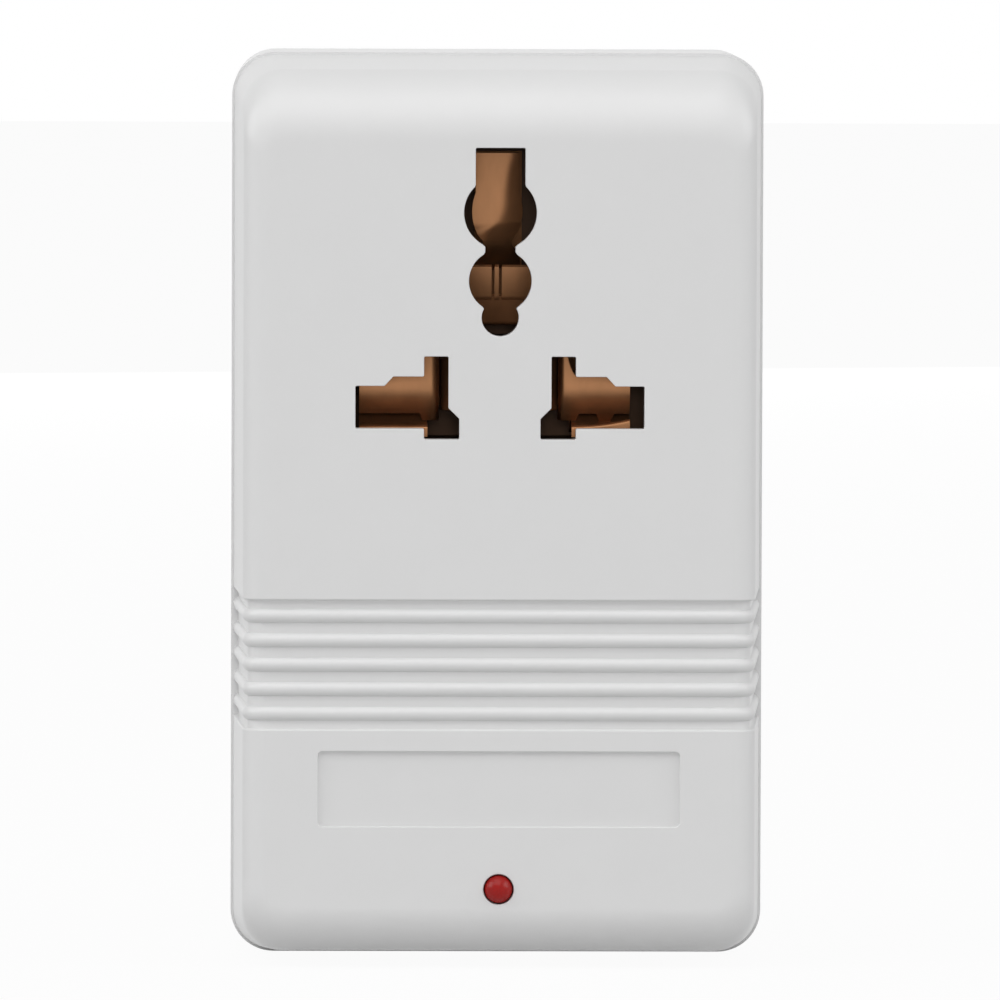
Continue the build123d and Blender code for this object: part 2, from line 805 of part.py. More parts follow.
def earth_outline():
    """Front view of the folded earth strip, wide behind each part of its opening."""
    z = pin_line_z
    top = z + earth_leaf_top_rise + strip_thickness / 2
    bulge_z = z + earth_large_rise
    shoulder = z + earth_shoulder_rise
    cross_low = z + earth_cross_low_rise
    low = z + earth_bar_low_rise - strip_thickness
    x = earth_leaf_shift
    leaf = Pos(x, (top + shoulder) / 2) * Rectangle(2 * earth_link_half, top - shoulder)
    upper = Pos(x, (top + bulge_z) / 2) * Rectangle(2 * earth_leaf_half, top - bulge_z)
    bulge = Pos(x, bulge_z) * Ellipse(earth_bulge_half, earth_large_radius)
    cross = Pos(0, (shoulder + cross_low) / 2) * Rectangle(2 * earth_cross_half, shoulder - cross_low)
    foot = Pos(0, (cross_low + low) / 2) * Rectangle(2 * earth_bar_half, cross_low - low)
    height = top - low
    return (leaf + upper + bulge + cross + foot) & Pos(0, low + height / 2) * Rectangle(rear_width, height)


def earth_contact():
    """Earth contact: one bronze strip folded into a loop, slit where it faces the round hole."""
    web_y = contact_web_y()
    z = pin_line_z
    low = z + earth_bar_low_rise
    leaf_y, leaf_low_y = face_inner_y + earth_leaf_depth, face_inner_y + earth_leaf_low_depth
    cross_y, bar_y = face_inner_y + earth_cross_depth, face_inner_y + earth_bar_depth
    loop = [(leaf_y, z + earth_leaf_top_rise + overrun), (leaf_y, z + earth_leaf_top_rise),
            (leaf_low_y, z + earth_leaf_low_rise),
            (cross_y, z + earth_cross_top_rise), (cross_y, z + earth_cross_low_rise),
            (bar_y, low + strip_bend), (bar_y + strip_bend, low), (web_y - strip_bend, low),
            (web_y, low + strip_bend),
            (web_y, z + earth_leaf_top_rise + overrun)]
    line = FilletPolyline(*loop, radius=strip_bend / 2)
    folded = extrude(side_plane(0) * trace(line, strip_thickness), earth_cross_half, both=True)
    folded &= slab(earth_outline(), face_y, retainer_y())
    slit_zs = (z + earth_cross_low_rise + earth_slit_margin, z + earth_cross_top_rise)
    for x in (earth_slit_left_x, earth_slit_right_x):
        xs = (x - earth_slit_width / 2, x + earth_slit_width / 2)
        folded -= block(xs, (face_y, web_y - strip_bend), slit_zs)
    return folded


def lamp_flange_y():
    """Front of the lamp's flange."""
    return face_y - lamp_proud + lamp_length - lamp_flange_height


def led_lens():
    """Red lamp body: domed round lens with a flange at its foot."""
    tip_y = face_y - lamp_proud
    foot_y = tip_y + lamp_length
    body = rod(lamp_radius, (0, tip_y + lamp_radius, lamp_z), (0, foot_y, lamp_z))
    body += Pos(0, tip_y + lamp_radius, lamp_z) * Sphere(lamp_radius)
    return body + rod(lamp_flange_radius, (0, lamp_flange_y(), lamp_z), (0, foot_y, lamp_z))


def square_pin(half, x, ys, z):
    """Square pin along Y."""
    return block((x - half, x + half), ys, (z - half, z + half))


def led_leads():
    """Two square legs from the lamp's foot through the board."""
    foot_y = face_y - lamp_proud + lamp_length
    end_y = board_y + board_thickness + lead_reach
    return group([square_pin(lead_half, side * lamp_lead_x, (foot_y, end_y), lamp_z) for side in (-1, 1)])


def lead_x(length):
    """Distance from the middle at which a component's leads pass through the board."""
    return length / 2 + component_lead_run


def led_board():
    """Small circuit board on two stakes behind the lamp."""
    half = board_width / 2
    board = block((-half, half), (board_y, board_y + board_thickness), (board_low_z, board_top_z))
    depths = (board_y - overrun, board_y + overrun)
    stake_hole = stake_radius + screw_clearance
    board -= both_sides(bar(stake_hole, (post_x, depths[0], lamp_z), (post_x, depths[1], lamp_z)))
    lead_xs = (lamp_lead_x, lead_x(resistor_length), lead_x(diode_length))
    for x, z in zip(lead_xs, (lamp_z, resistor_z, diode_z)):
        board -= both_sides(square_pin(lead_half + lead_hole_gap, x, depths, z))
    return board


def canister(radius, length, y, z, cone):
    """Round body along X with coned ends."""
    body = bar(radius, (-length / 2, y, z), (length / 2, y, z))
    ends = body.faces().sort_by(Axis.X)
    return chamfer(ends[0].edges() + ends[-1].edges(), cone)


def component(radius, length, z):
    """Round two-lead component lying on the board's back, its leads bent through the board."""
    y = board_y + board_thickness + radius
    body = canister(radius, length, y, z, radius / 3)
    end_x = lead_x(length)
    lead = block((0, end_x + lead_half), (y - lead_half, y + lead_half), (z - lead_half, z + lead_half))
    lead += square_pin(lead_half, end_x, (board_y - lead_reach, y + lead_half), z)
    return body + both_sides(lead)


def core_middle_y():
    """Middle of the core's stack and of the coil."""
    return core_front_y + core_stack / 2


def core_holes(z):
    """Clamping holes through the core's corners at one height."""
    x = core_width / 2 - core_hole_inset
    back_y = core_front_y + core_stack
    return both_sides(bar(core_hole_radius, (x, core_front_y - overrun, z), (x, back_y + overrun, z)))


def core_e_stack():
    """Stack of E laminations: a lower yoke, two outer limbs and a double centre limb."""
    ys = (core_front_y, core_front_y + core_stack)
    half = core_width / 2
    window_zs = (core_low_z + limb_width, core_low_z + core_height - limb_width)
    stack = block((-half, half), ys, (core_low_z, window_zs[1]))
    window = block((limb_width, half - limb_width), (ys[0] - overrun, ys[1] + overrun),
                   (window_zs[0], window_zs[1] + overrun))
    return stack - both_sides(window) - core_holes(core_low_z + core_hole_inset)


def core_i_stack():
    """Stack of I laminations that closes the core on top."""
    half = core_width / 2
    top = core_low_z + core_height
    yoke = block((-half, half), (core_front_y, core_front_y + core_stack), (top - limb_width, top))
    return yoke - core_holes(top - core_hole_inset)


def around_limb(growth_x, growth_y, corner):
    """Rounded rectangle in X and Y that stands off the centre limb by the given amounts."""
    width = 2 * (limb_width + growth_x)
    depth = core_stack + 2 * growth_y
    return Pos(0, core_middle_y()) * RectangleRounded(width, depth, corner)


def flange_growth():
    """How far the bobbin's flanges stand off the centre limb, in X and in Y."""
    return limb_width - bobbin_gap, coil_build


def limb_well(low, high):
    """Space of the centre limb with the bobbin's clearance."""
    half = limb_width + bobbin_gap
    stack_half = core_stack / 2 + bobbin_gap
    y = core_middle_y()
    return block((-half, half), (y - stack_half, y + stack_half), (low, high))


def bobbin():
    """Moulded bobbin: a square tube with two flanges and a terminal rail behind the upper one."""
    low = core_low_z + limb_width + seat_gap
    top = core_low_z + core_height - limb_width - seat_gap
    tube_growth = bobbin_gap + bobbin_wall
    body = extrude(top_plane(low) * around_limb(tube_growth, tube_growth, bobbin_wall), top - low)
    plate = around_limb(*flange_growth(), bobbin_wall)
    body += extrude(top_plane(low) * plate, bobbin_flange)
    body += extrude(top_plane(top - bobbin_flange) * plate, bobbin_flange)
    rail_front = core_front_y + core_stack + running_gap
    rail_back = core_middle_y() + core_stack / 2 + coil_build
    half = limb_width + flange_growth()[0]
    body += block((-half, half), (rail_front, rail_back), (top - bobbin_flange, rail_top_z()))
    body -= limb_well(low - overrun, top + overrun)
    for x in terminal_xs():
        body -= upright_pin(terminal_half + screw_clearance, x, rail_top_z() + overrun)
    return body


def upright_pin(half, x, top):
    """Square pin that stands in the rail, up to a level."""
    low = rail_top_z() - rail_height
    return block((x - half, x + half), (terminal_y - half, terminal_y + half), (low, top))


def rail_top_z():
    """Top of the bobbin's terminal rail."""
    return core_low_z + core_height - limb_width - seat_gap + rail_height


def terminal_xs():
    """Places of the terminal pins across the rail."""
    middle = (terminal_count - 1) / 2
    return [(number - middle) * terminal_pitch for number in range(terminal_count)]


def bobbin_terminals():
    """Row of pins standing in the rail."""
    return group([upright_pin(terminal_half, x, rail_top_z() + terminal_reach) for x in terminal_xs()])


def winding(low, high):
    """One winding: a rounded block of wire round the bobbin's tube."""
    outer = around_limb(flange_growth()[0] - flange_margin, coil_build - coil_margin, coil_corner)
    inner_growth = bobbin_gap + bobbin_wall + layer_gap
    inner = around_limb(inner_growth, inner_growth, bobbin_wall + layer_gap)
    return extrude(top_plane(low) * (outer - inner), high - low)


def winding_span():
    """Lowest and highest level between the bobbin's flanges."""
    low = core_low_z + limb_width + seat_gap + bobbin_flange + seat_gap
    high = core_low_z + core_height - limb_width - seat_gap - bobbin_flange - seat_gap
    return low, high


def primary_winding():
    """Lower winding."""
    low, high = winding_span()
    return winding(low, (low + high) / 2 - winding_space / 2)


def secondary_winding():
    """Upper winding."""
    low, high = winding_span()
    return winding((low + high) / 2 + winding_space / 2, high)


def winding_tape():
    """Band of tape round the middle of both windings."""
    growth_x = flange_growth()[0] - flange_margin + layer_gap
    growth_y = coil_build - coil_margin + layer_gap
    outer = around_limb(growth_x + tape_thickness, growth_y + tape_thickness, coil_corner + tape_thickness)
    inner = around_limb(growth_x, growth_y, coil_corner)
    low, high = winding_span()
    margin = tape_share * (high - low)
    return extrude(top_plane(low + margin) * (outer - inner), high - low - 2 * margin)


def fuse_y():
    """Axis of the thermal fuse, which lies against the tape in front of the coil."""
    tape_front = core_middle_y() - core_stack / 2 - coil_build + coil_margin - layer_gap - tape_thickness
    return tape_front - layer_gap - fuse_radius


def thermal_fuse():
    """Thermal cut-out: a small metal can with coned ends."""
    return canister(fuse_radius, fuse_length, fuse_y(), fuse_z, fuse_cap)


def blade_clamp_y():
    """Front of the bar that presses the blades' shoulders against the rear wall."""
    return rear_inner_y - blade_shoulder_depth - blade_clamp_depth


def clamp_screw_tip_y():
    """Inner end of the clamp's screw holes."""
    return blade_clamp_y() + clamp_screw_length


def plug_blade():
    """Right plug blade: flat blade with a rolled nose, a shoulder and a solder tail."""
    half = plug_thickness / 2
    end_y = rear_y + pad_rise + plug_reach
    xs = (plug_spacing / 2 - half, plug_spacing / 2 + half)
    blade = block(xs, (rear_inner_y - blade_shoulder_depth, end_y),
                  (plug_z - plug_height / 2, plug_z + plug_height / 2))
    nose = blade.faces().sort_by(Axis.Y)[-1]
    blade = chamfer(nose.edges(), plug_nose)
    shoulder_half = blade_shoulder_height / 2
    blade += block(xs, (rear_inner_y - blade_shoulder_depth, rear_inner_y),
                   (plug_z - shoulder_half, plug_z + shoulder_half))
    tail_y = rear_inner_y - blade_shoulder_depth - blade_tail_reach
    tail_half = blade_tail_height / 2
    blade += block(xs, (tail_y, rear_inner_y), (plug_z - tail_half, plug_z + tail_half))
    hole_y = rear_y + pad_rise + plug_hole_reach
    blade -= rod(plug_hole_radius, (0, hole_y, plug_z), (plug_spacing, hole_y, plug_z))
    tail_hole_y = tail_y + 2 * blade_tail_hole
    return blade - bar(blade_tail_hole, (0, tail_hole_y, plug_z), (plug_spacing, tail_hole_y, plug_z))


def blade_retainer():
    """Bar across both blade tails, screwed to the rear wall."""
    half = clamp_screw_x + clamp_end
    clamp = slab(rounded(2 * half, blade_clamp_height, carrier_wall, plug_z),
                 blade_clamp_y(), blade_clamp_y() + blade_clamp_depth)
    slot_half = plug_thickness / 2 + seat_gap
    tail_half = blade_tail_height / 2 + seat_gap
    slot = block((plug_spacing / 2 - slot_half, plug_spacing / 2 + slot_half), (face_y, rear_y),
                 (plug_z - tail_half, plug_z + tail_half))
    hole = bar(small_screw_radius + screw_clearance, (clamp_screw_x, face_y, plug_z),
               (clamp_screw_x, rear_y, plug_z))
    return clamp - both_sides(slot) - both_sides(hole)


def flipped_screw(length, place):
    """Small screw whose point goes towards +Y."""
    x, y, z = place
    upright = screw(small_screw_radius, length, small_head_radius, small_head_height, (x, 0, z))
    return Pos(0, y, 0) * mirror(upright, about=Plane.XZ)


def blade_retainer_screws():
    """Two screws through the blade clamp."""
    return group([flipped_screw(clamp_screw_length, (side * clamp_screw_x, blade_clamp_y(), plug_z))
                  for side in (-1, 1)])


def selector_seat_y():
    """Inner face of the rear wall's pad, where the selector's frame sits."""
    return rear_inner_y - selector_pad_rise


def selector_cavity_y():
    """Floor of the selector's cavity."""
    return selector_seat_y() - frame_thickness - selector_cavity_depth


def selector_frame():
    """Steel plate with two screw holes and a window for the knob."""
    plate = slab(rounded(frame_width, frame_height, carrier_wall, selector_z),
                 selector_seat_y() - frame_thickness, selector_seat_y())
    window = Rectangle(knob_width + selector_travel + 2 * running_gap, knob_height + 2 * running_gap)
    plate -= slab(Pos(0, selector_z) * window, face_y, rear_y)
    return plate - both_sides(bar(small_screw_radius + screw_clearance, (frame_screw_x, face_y, selector_z),
                                  (frame_screw_x, rear_y, selector_z)))


def selector_screws():
    """Two screws that hold the selector's frame on the rear wall."""
    y = selector_seat_y() - frame_thickness
    return group([flipped_screw(frame_screw_length, (side * frame_screw_x, y, selector_z))
                  for side in (-1, 1)])


def selector_pin_places():
    """X and Z of the six terminals: three across, in two rows."""
    return [(column * selector_pitch, selector_z + row * wiper_row_z)
            for column in (-1, 0, 1) for row in (-1, 1)]


def selector_body():
    """Black switch body with a cavity for the carriage and holes for its terminals."""
    back_y = selector_seat_y() - frame_thickness
    half = selector_body_width / 2
    body = block((-half, half), (back_y - selector_body_depth, back_y),
                 (selector_z - frame_height / 2, selector_z + frame_height / 2))
    cavity_half = (carriage_width + selector_travel) / 2 + carriage_gap
    body -= block((-cavity_half, cavity_half), (selector_cavity_y(), back_y + overrun),
                  (selector_z - selector_cavity_height / 2, selector_z + selector_cavity_height / 2))
    hole_ys = (face_y, selector_cavity_y() + seat_gap)
    for x, z in selector_pin_places():
        body -= square_pin(selector_pin_half + screw_clearance, x, hole_ys, z)
    return body


def selector_terminals():
    """Six terminals, each a contact pad on the cavity's floor with a pin through it."""
    floor_y = selector_cavity_y()
    pin_end = selector_seat_y() - frame_thickness - selector_body_depth - selector_pin_reach
    half_width, half_height = contact_head_width / 2, contact_head_height / 2
    terminals = []
    for x, z in selector_pin_places():
        pad = block((x - half_width, x + half_width), (floor_y, floor_y + contact_head),
                    (z - half_height, z + half_height))
        terminals.append(pad + square_pin(selector_pin_half, x, (pin_end, floor_y), z))
    return group(terminals)


def carriage_span():
    """Front and back of the slider's carriage inside the switch body."""
    back_y = selector_seat_y() - frame_thickness - carriage_gap
    return back_y - carriage_depth, back_y


def selector_slider():
    """Red slider: a ribbed knob in the window on a carriage inside the body."""
    x = -selector_travel / 2
    front_y, back_y = carriage_span()
    half = carriage_width / 2
    carriage_half = selector_cavity_height / 2 - carriage_gap
    slider = block((x - half, x + half), (front_y, back_y),
                   (selector_z - carriage_half, selector_z + carriage_half))
    top_y = rear_y - knob_sink
    knob = block((x - knob_width / 2, x + knob_width / 2), (front_y, top_y),
                 (selector_z - knob_height / 2, selector_z + knob_height / 2))
    pitch = knob_width / (knob_ribs + 1)
    for number in range(knob_ribs):
        groove_x = x + (number - (knob_ribs - 1) / 2) * pitch
        knob -= block((groove_x - knob_rib_width / 2, groove_x + knob_rib_width / 2),
                      (top_y - knob_rib_depth, top_y + overrun), (0, rear_height))
    return slider + knob


def selector_wiper():
    """Two bronze bridges under the carriage, one for each row of terminals."""
    x = -selector_travel / 2
    low_y = selector_cavity_y() + contact_head + wiper_gap
    high_y = carriage_span()[0]
    bridges = []
    for side in (-1, 1):
        z = selector_z + side * wiper_row_z
        bridges.append(block((x - wiper_length / 2, x + wiper_length / 2), (low_y, high_y),
                             (z - wiper_width / 2, z + wiper_width / 2)))
    return group(bridges)


def blade_tail_end():
    """Inner end of the blades' solder tails."""
    return rear_inner_y - blade_shoulder_depth - blade_tail_reach


def wire_run_z():
    """Height of the wires that run over the core."""
    return rail_top_z() + terminal_reach + wire_run_rise


def wire_to_terminal(x):
    """Last points of a wire that comes forward over the coil and down on a terminal."""
    top = rail_top_z() + terminal_reach + wire_end_gap
    return [(x, terminal_y, wire_run_z()), (x, terminal_y, top)]


def blade_wire_left():
    """Lead from the left blade, over the core, to the thermal fuse."""
    x = -plug_spacing / 2
    blade_run_z = rail_top_z() + terminal_reach + blade_run_rise
    return tube([(x, blade_tail_end() - wire_end_gap, plug_z), (x, blade_lane_y, plug_z),
                 (x, blade_lane_y, blade_run_z), (-coil_lane_x, coil_lane_y, blade_run_z),
                 (-coil_lane_x, coil_lane_y, fuse_z), (-fuse_length / 2 - wire_end_gap, fuse_y(), fuse_z)],
                wire_radius)


def fuse_wire():
    """Lead from the thermal fuse to the middle terminal."""
    return tube([(fuse_length / 2 + wire_end_gap, fuse_y(), fuse_z), (coil_lane_x, coil_lane_y, fuse_z),
                 (coil_lane_x, coil_lane_y, wire_run_z()), (0, return_lane_y, wire_run_z())]
                + wire_to_terminal(0), wire_radius)


def blade_wire_right():
    """Lead from the right blade to its terminal."""
    x = 2 * terminal_pitch
    start_x = plug_spacing / 2
    return tube([(start_x, blade_tail_end() - wire_end_gap, plug_z), (start_x, return_lane_y, plug_z),
                 (x, return_lane_y, wire_run_z())] + wire_to_terminal(x), wire_radius)


def output_wire(side):
    """Lead from a power contact's tail to an outer terminal."""
    x = side * 4 * terminal_pitch
    start_x = side * tail_x
    tail_end = retainer_y() + retainer_thickness + tail_reach
    return tube([(start_x, tail_end + wire_end_gap, pin_line_z), (start_x, output_lane_y, pin_line_z),
                 (x, output_lane_y, wire_run_z())] + wire_to_terminal(x), wire_radius)


def selector_wires():
    """Two leads from the selector's lower outer pins to their terminals."""
    pin_end = selector_seat_y() - frame_thickness - selector_body_depth - selector_pin_reach
    z = selector_z - wiper_row_z
    wires = []
    for side in (-1, 1):
        x = side * terminal_pitch
        start_x = side * selector_pitch
        wires.append(tube([(start_x, pin_end - wire_end_gap, z), (start_x, return_lane_y, z),
                           (x, return_lane_y, wire_run_z())] + wire_to_terminal(x), wire_radius))
    return group(wires)


def led_wires():
    """Two thin leads from the lamp's board up past the coil to their terminals."""
    wires = []
    for side in (-1, 1):
        x = side * 3 * terminal_pitch
        lane_x = side * lamp_lane_x
        start_x = side * lamp_wire_x
        start = (start_x, board_y - wire_end_gap, lamp_wire_z)
        wires.append(tube([start, (start_x, coil_lane_y, lamp_wire_z), (lane_x, coil_lane_y, lamp_lane_z),
                           (lane_x, coil_lane_y, wire_run_z()), (x, return_lane_y, wire_run_z())]
                          + wire_to_terminal(x), thin_wire_radius))
    return group(wires)


nodes = {
    "front_housing": front_housing,
    "rear_housing": rear_housing,
    "housing_screws": housing_screws,
    "contact_carrier": contact_carrier,
    "contact_retainer": contact_retainer,
    "contact_retainer_screws": contact_retainer_screws,
    "live_contact": lambda: mirrored(power_contact(live_jaw_outer_x)),
    "neutral_contact": lambda: power_contact(neutral_jaw_outer_x),
    "earth_contact": earth_contact,
    "led_lens": led_lens,
    "led_leads": led_leads,
    "led_board": led_board,
    "led_resistor": lambda: component(resistor_radius, resistor_length, resistor_z),
    "led_diode": lambda: component(diode_radius, diode_length, diode_z),
    "core_e_stack": core_e_stack,
    "core_i_stack": core_i_stack,
    "bobbin": bobbin,
    "primary_winding": primary_winding,
    "secondary_winding": secondary_winding,
    "winding_tape": winding_tape,
    "bobbin_terminals": bobbin_terminals,
    "thermal_fuse": thermal_fuse,
    "plug_blade_left": lambda: mirrored(plug_blade()),
    "plug_blade_right": plug_blade,
    "blade_retainer": blade_retainer,
    "blade_retainer_screws": blade_retainer_screws,
    "selector_frame": selector_frame,
    "selector_screws": selector_screws,
    "selector_body": selector_body,
    "selector_terminals": selector_terminals,
    "selector_slider": selector_slider,
    "selector_wiper": selector_wiper,
    "blade_wire_left": blade_wire_left,
    "blade_wire_right": blade_wire_right,
    "fuse_wire": fuse_wire,
    "output_wire_live": lambda: output_wire(-1),
    "output_wire_neutral": lambda: output_wire(1),
    "selector_wires": selector_wires,
    "led_wires": led_wires,
}

for name, make in nodes.items():
    export_step(make(), f"parts/{name}.step")
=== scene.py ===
"""Travel voltage converter: visual model, studio and camera.

Lengths are written in millimetres and scaled once, when a mesh is made. Only the floor and
the lamps are placed in metres. X is to the right, Y goes back and Z goes up, as in the CAD
frame.
"""
from math import atan2, cos, pi, radians, sin, tan

import bmesh
import bpy
import numpy as np
from mathutils import Matrix, Vector
from mathutils.geometry import tessellate_polygon


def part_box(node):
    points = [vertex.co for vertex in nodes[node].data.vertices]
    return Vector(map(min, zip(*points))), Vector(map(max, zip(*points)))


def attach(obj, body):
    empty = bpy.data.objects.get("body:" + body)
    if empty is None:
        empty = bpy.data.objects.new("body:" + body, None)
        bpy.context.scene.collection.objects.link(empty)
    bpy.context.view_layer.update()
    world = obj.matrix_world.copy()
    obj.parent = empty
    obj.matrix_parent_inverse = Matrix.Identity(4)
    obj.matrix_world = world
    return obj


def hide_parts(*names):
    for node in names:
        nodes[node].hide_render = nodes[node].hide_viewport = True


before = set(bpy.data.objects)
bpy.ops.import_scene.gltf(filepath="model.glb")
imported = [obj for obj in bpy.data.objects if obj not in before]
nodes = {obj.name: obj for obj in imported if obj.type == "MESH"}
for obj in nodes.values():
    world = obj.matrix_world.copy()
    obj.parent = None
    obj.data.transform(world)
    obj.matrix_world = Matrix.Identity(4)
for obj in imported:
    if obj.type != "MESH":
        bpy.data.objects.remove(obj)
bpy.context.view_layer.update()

mm = 0.001


# Measures. The shells' outer sizes come from the CAD frame, and the rest repeat the part's own.

def extent(name):
    """Lowest and highest corner of a CAD node, in millimetres."""
    low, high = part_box(name)
    return np.array(low) / mm, np.array(high) / mm


front_low, front_high = extent("front_housing")
rear_high = extent("rear_housing")[1]
lamp_low, lamp_high = extent("led_lens")

face_y = front_low[1]
parting_y = front_high[1]
rim_half = front_high[0]
middle_z = (front_low[2] + front_high[2]) / 2
rim_rise = front_high[2] - middle_z
rear_half = rear_high[0]
rear_rise = rear_high[2] - middle_z
pad_rise = 0.8
rear_y = rear_high[1] - pad_rise

face_half = 25.85
face_rise = 44.3
side_roll = 2.3
top_roll = 7.0
bottom_roll = 4.7
front_corner = 4.15
rear_corner = 4.4
rear_roll = 2.6
wall = 2.2

band_top_z = 37.6
band_low_z = 24.15
ridge_count = 5
ridge_pitch = 2.475
ridge_radius = 0.75
first_ridge_drop = 1.8
groove_depth = 0.5
groove_lip = 0.2

# The outlet. A rise is a height above the line of the power pins.
pin_line_z = 56.94
opening_lip = 0.08
opening_corner = 0.15
power_corners = [(14.6, -2.155), (14.6, 2.155), (11.66, 2.155), (10.78, 3.11), (7.67, 3.11), (7.67, 5.14),
                 (5.2, 5.14), (5.2, -0.07), (4.1, -1.16), (4.1, -3.24), (7.67, -3.24), (7.67, -2.155)]
earth_slot_rise = 26.21
earth_slot_half = 2.515
earth_channel_half = 1.535
earth_holes = ((19.66, 3.68), (12.76, 3.17), (9.06, 1.88))

recess_half_width = 18.3
recess_top_z = 22.1
recess_low_z = 14.5
recess_depth = 0.4
recess_lip = 0.1
recess_corner = 0.45

lamp_z = (lamp_low[2] + lamp_high[2]) / 2
lamp_hole_radius = 1.53
lamp_hole_lip = 0.12
lens_radius = 1.46
lens_flange_radius = 1.9
lens_flange_thickness = 1.0

inner_roll = 0.6
front_boss_radius = 2.6
rear_boss_radius = 3.35
well_radius = 2.6
screw_hole_radius = 1.3
screw_seat_y = 0.0
screw_hole_floor = -14.3
screw_x = 21.6
upper_screw_z = 86.8
lower_screw_z = 48.2
screw_places = [(side * screw_x, z) for z in (upper_screw_z, lower_screw_z) for side in (-1, 1)]
boss_fronts = (-21.7, -21.7, -23.9, -23.9)

plug_z = 66.0
pad_half_width = 13.0
pad_half_height = 8.0
pad_corner = 3.0
pad_lip = 0.35
blade_x = 6.35
blade_slot_half = 0.85
blade_slot_rise = 3.275
slot_corner = 0.25
selector_z = 52.0
selector_half_width = 7.5
selector_half_height = 4.2
selector_corner = 1.5
selector_depth = 1.4
window_half_width = 4.35
window_half_height = 2.25
figure_x = 11.4
figure_drop = 1.1
figure_size = 3.2
figure_half_thickness = 0.03
figure_middle_rise = 0.02

# The power contacts. Their lines are rows of (depth, rise), except for the finger's and the
# side leaf's, which are rows of (x, rise) and (x, depth).
strip_thickness = 0.5
web_y = -7.02
leaf_y = -22.15
leaf_top = 5.3
leaf_low = -0.84
leaf_turn = 80
leaf_flange = (0.3, 2.0)
lean_top = 2.6
lean_depth = 2.6
inner_tab_x = 8.1
inner_tab_drop = 0.75
outer_tab_xs = (9.8, 11.7)
tab_slope = 0.35
outer_tab_slope = 0.4
finger_line = [(6.85, leaf_top), (7.0, 4.5), (7.2, 3.9), (7.45, 3.4), (7.7, 3.05), (8.2, 3.05), (8.7, 3.6)]
jaw_inner_x = 7.3
live_outer_x = 14.2
neutral_outer_x = 13.2
loop_line = [(-19.3, -0.15), (-15.5, 0.0), (-11.4, 0.5), (-8.4, 2.7), (web_y, 3.3), (web_y, 2.2),
             (web_y, -2.2), (web_y, -3.3), (-8.4, -3.2), (-11.4, -2.7)]
jaw_foot = -3.1
jaw_line = [(-21.9, jaw_foot), (-21.9, -2.5), (-21.9, -2.02), (-20.9, -1.98), (-18.9, -1.95),
            (-18.2, -1.7), (-16.8, -0.95), (-15.0, -1.0), (-11.4, -2.2)]
jaw_lift_height = 1.1
jaw_lift_y = -18
jaw_lift_reach = 3
side_leaf_line = [(4.95, -20.7), (6.2, -17.6), (5.4, -11.4), (5.2, -8.2), (5.5, web_y), (8.0, web_y)]
side_leaf_low = -0.5
tail_width = 3.0
tail_lap = 0.4
tail_end_y = -2.8

# The earth contact. Its crease is rows of (rise, share of the half width).
earth_leaf_x = -0.25
earth_leaf_y = -20.25
earth_leaf_top = 25.6
earth_leaf_low = 13.7
earth_upper_half = 2.2
earth_bulge_rise = 19.66
earth_bulge_half = 2.56
earth_bulge_reach = 3.68
earth_neck_half = 1.45
earth_foot_flare = 0.95
earth_foot_rise = 16.4
earth_foot_reach = 2.0
earth_bend_rise = 18.6
earth_bend_rate = 0.25
earth_crease = [(16.5, -1.0), (17.5, -0.5), (18.5, 0.08), (19.8, 0.27), (22, 0.45), (24, 0.65), (26, 0.9)]
earth_crease_softness = 0.16
earth_crease_fall = 0.75
earth_cross_half = 4.4
earth_cross_line = [(-20.2, 14.06), (-18.95, 11.3), (-18.75, 10.85), (-18.3, 10.6)]
earth_slits = (-0.82, -0.52, -0.08, 0.22)
earth_bar_half = 2.4
earth_bar_line = [(-18.6, 11.0), (-17.3, 8.7), (-17.0, 8.2), (-16.4, 8.05), (-15.0, 8.05), (-9.0, 8.05),
                  (-7.4, 8.1), (web_y, 8.5), (web_y, 9.5), (web_y, 25.5)]


# Profiles

def rolled(face, rim, roll, front, back, depth):
    """Half extent at each depth of a drafted wall joined to the face by one round roll.

    The wall is a straight line from (front, face) to (back, rim). The roll is the arc that
    touches both it and the face: half = centre + sqrt(roll^2 - (front + roll - depth)^2).
    """
    lean = atan2(rim - face, back - front)
    setback = roll / tan((pi / 2 + lean) / 2)
    line = face + (depth - front) * (rim - face) / (back - front)
    height = np.clip(front + roll - depth, 0, roll)
    arc = face - setback + np.sqrt(roll ** 2 - height ** 2)
    touch = front + setback * cos(lean)
    return np.where(depth < touch, arc, line)


def depths(front, back, roll, steps):
    """Depths from the face back, closest together where the roll is steepest."""
    last_angle = radians(86)
    angle = np.linspace(0, last_angle, steps)
    near = front + roll * (1 - np.cos(angle))
    far = np.linspace(near[-1], back, 4)[1:]
    return np.concatenate([near, far])


def arc(centre_x, centre_z, radius, start, end, steps):
    """Points on a circle in X and Z between two angles in degrees."""
    angle = np.radians(np.linspace(start, end, steps))
    return np.stack([centre_x + radius * np.cos(angle), centre_z + radius * np.sin(angle)], -1)


def arch(half, rise, corner, foot_z, sign, steps=15):
    """Open outline from one side's foot over the top, or under the bottom, to the other.

    Its corners are quarter circles, and each side has one more point just short of its corner.
    half, rise and corner may be arrays with one value for each depth, and the result then has
    one outline for each.
    """
    angle = np.linspace(0, pi / 2, steps)
    half, rise, corner = (np.atleast_1d(np.asarray(value, float))[:, None]
                          for value in (half, rise, corner))
    end_z = middle_z + sign * rise
    support = 0.6
    xs = np.concatenate([half, half, half - corner + corner * np.cos(angle)], 1)
    zs = np.concatenate([np.full_like(half, foot_z), end_z - sign * (corner + support),
                         end_z - sign * corner * (1 - np.sin(angle))], 1)
    xs = np.concatenate([xs, -xs[:, ::-1]], 1)
    zs = np.concatenate([zs, zs[:, ::-1]], 1)
    return xs, zs


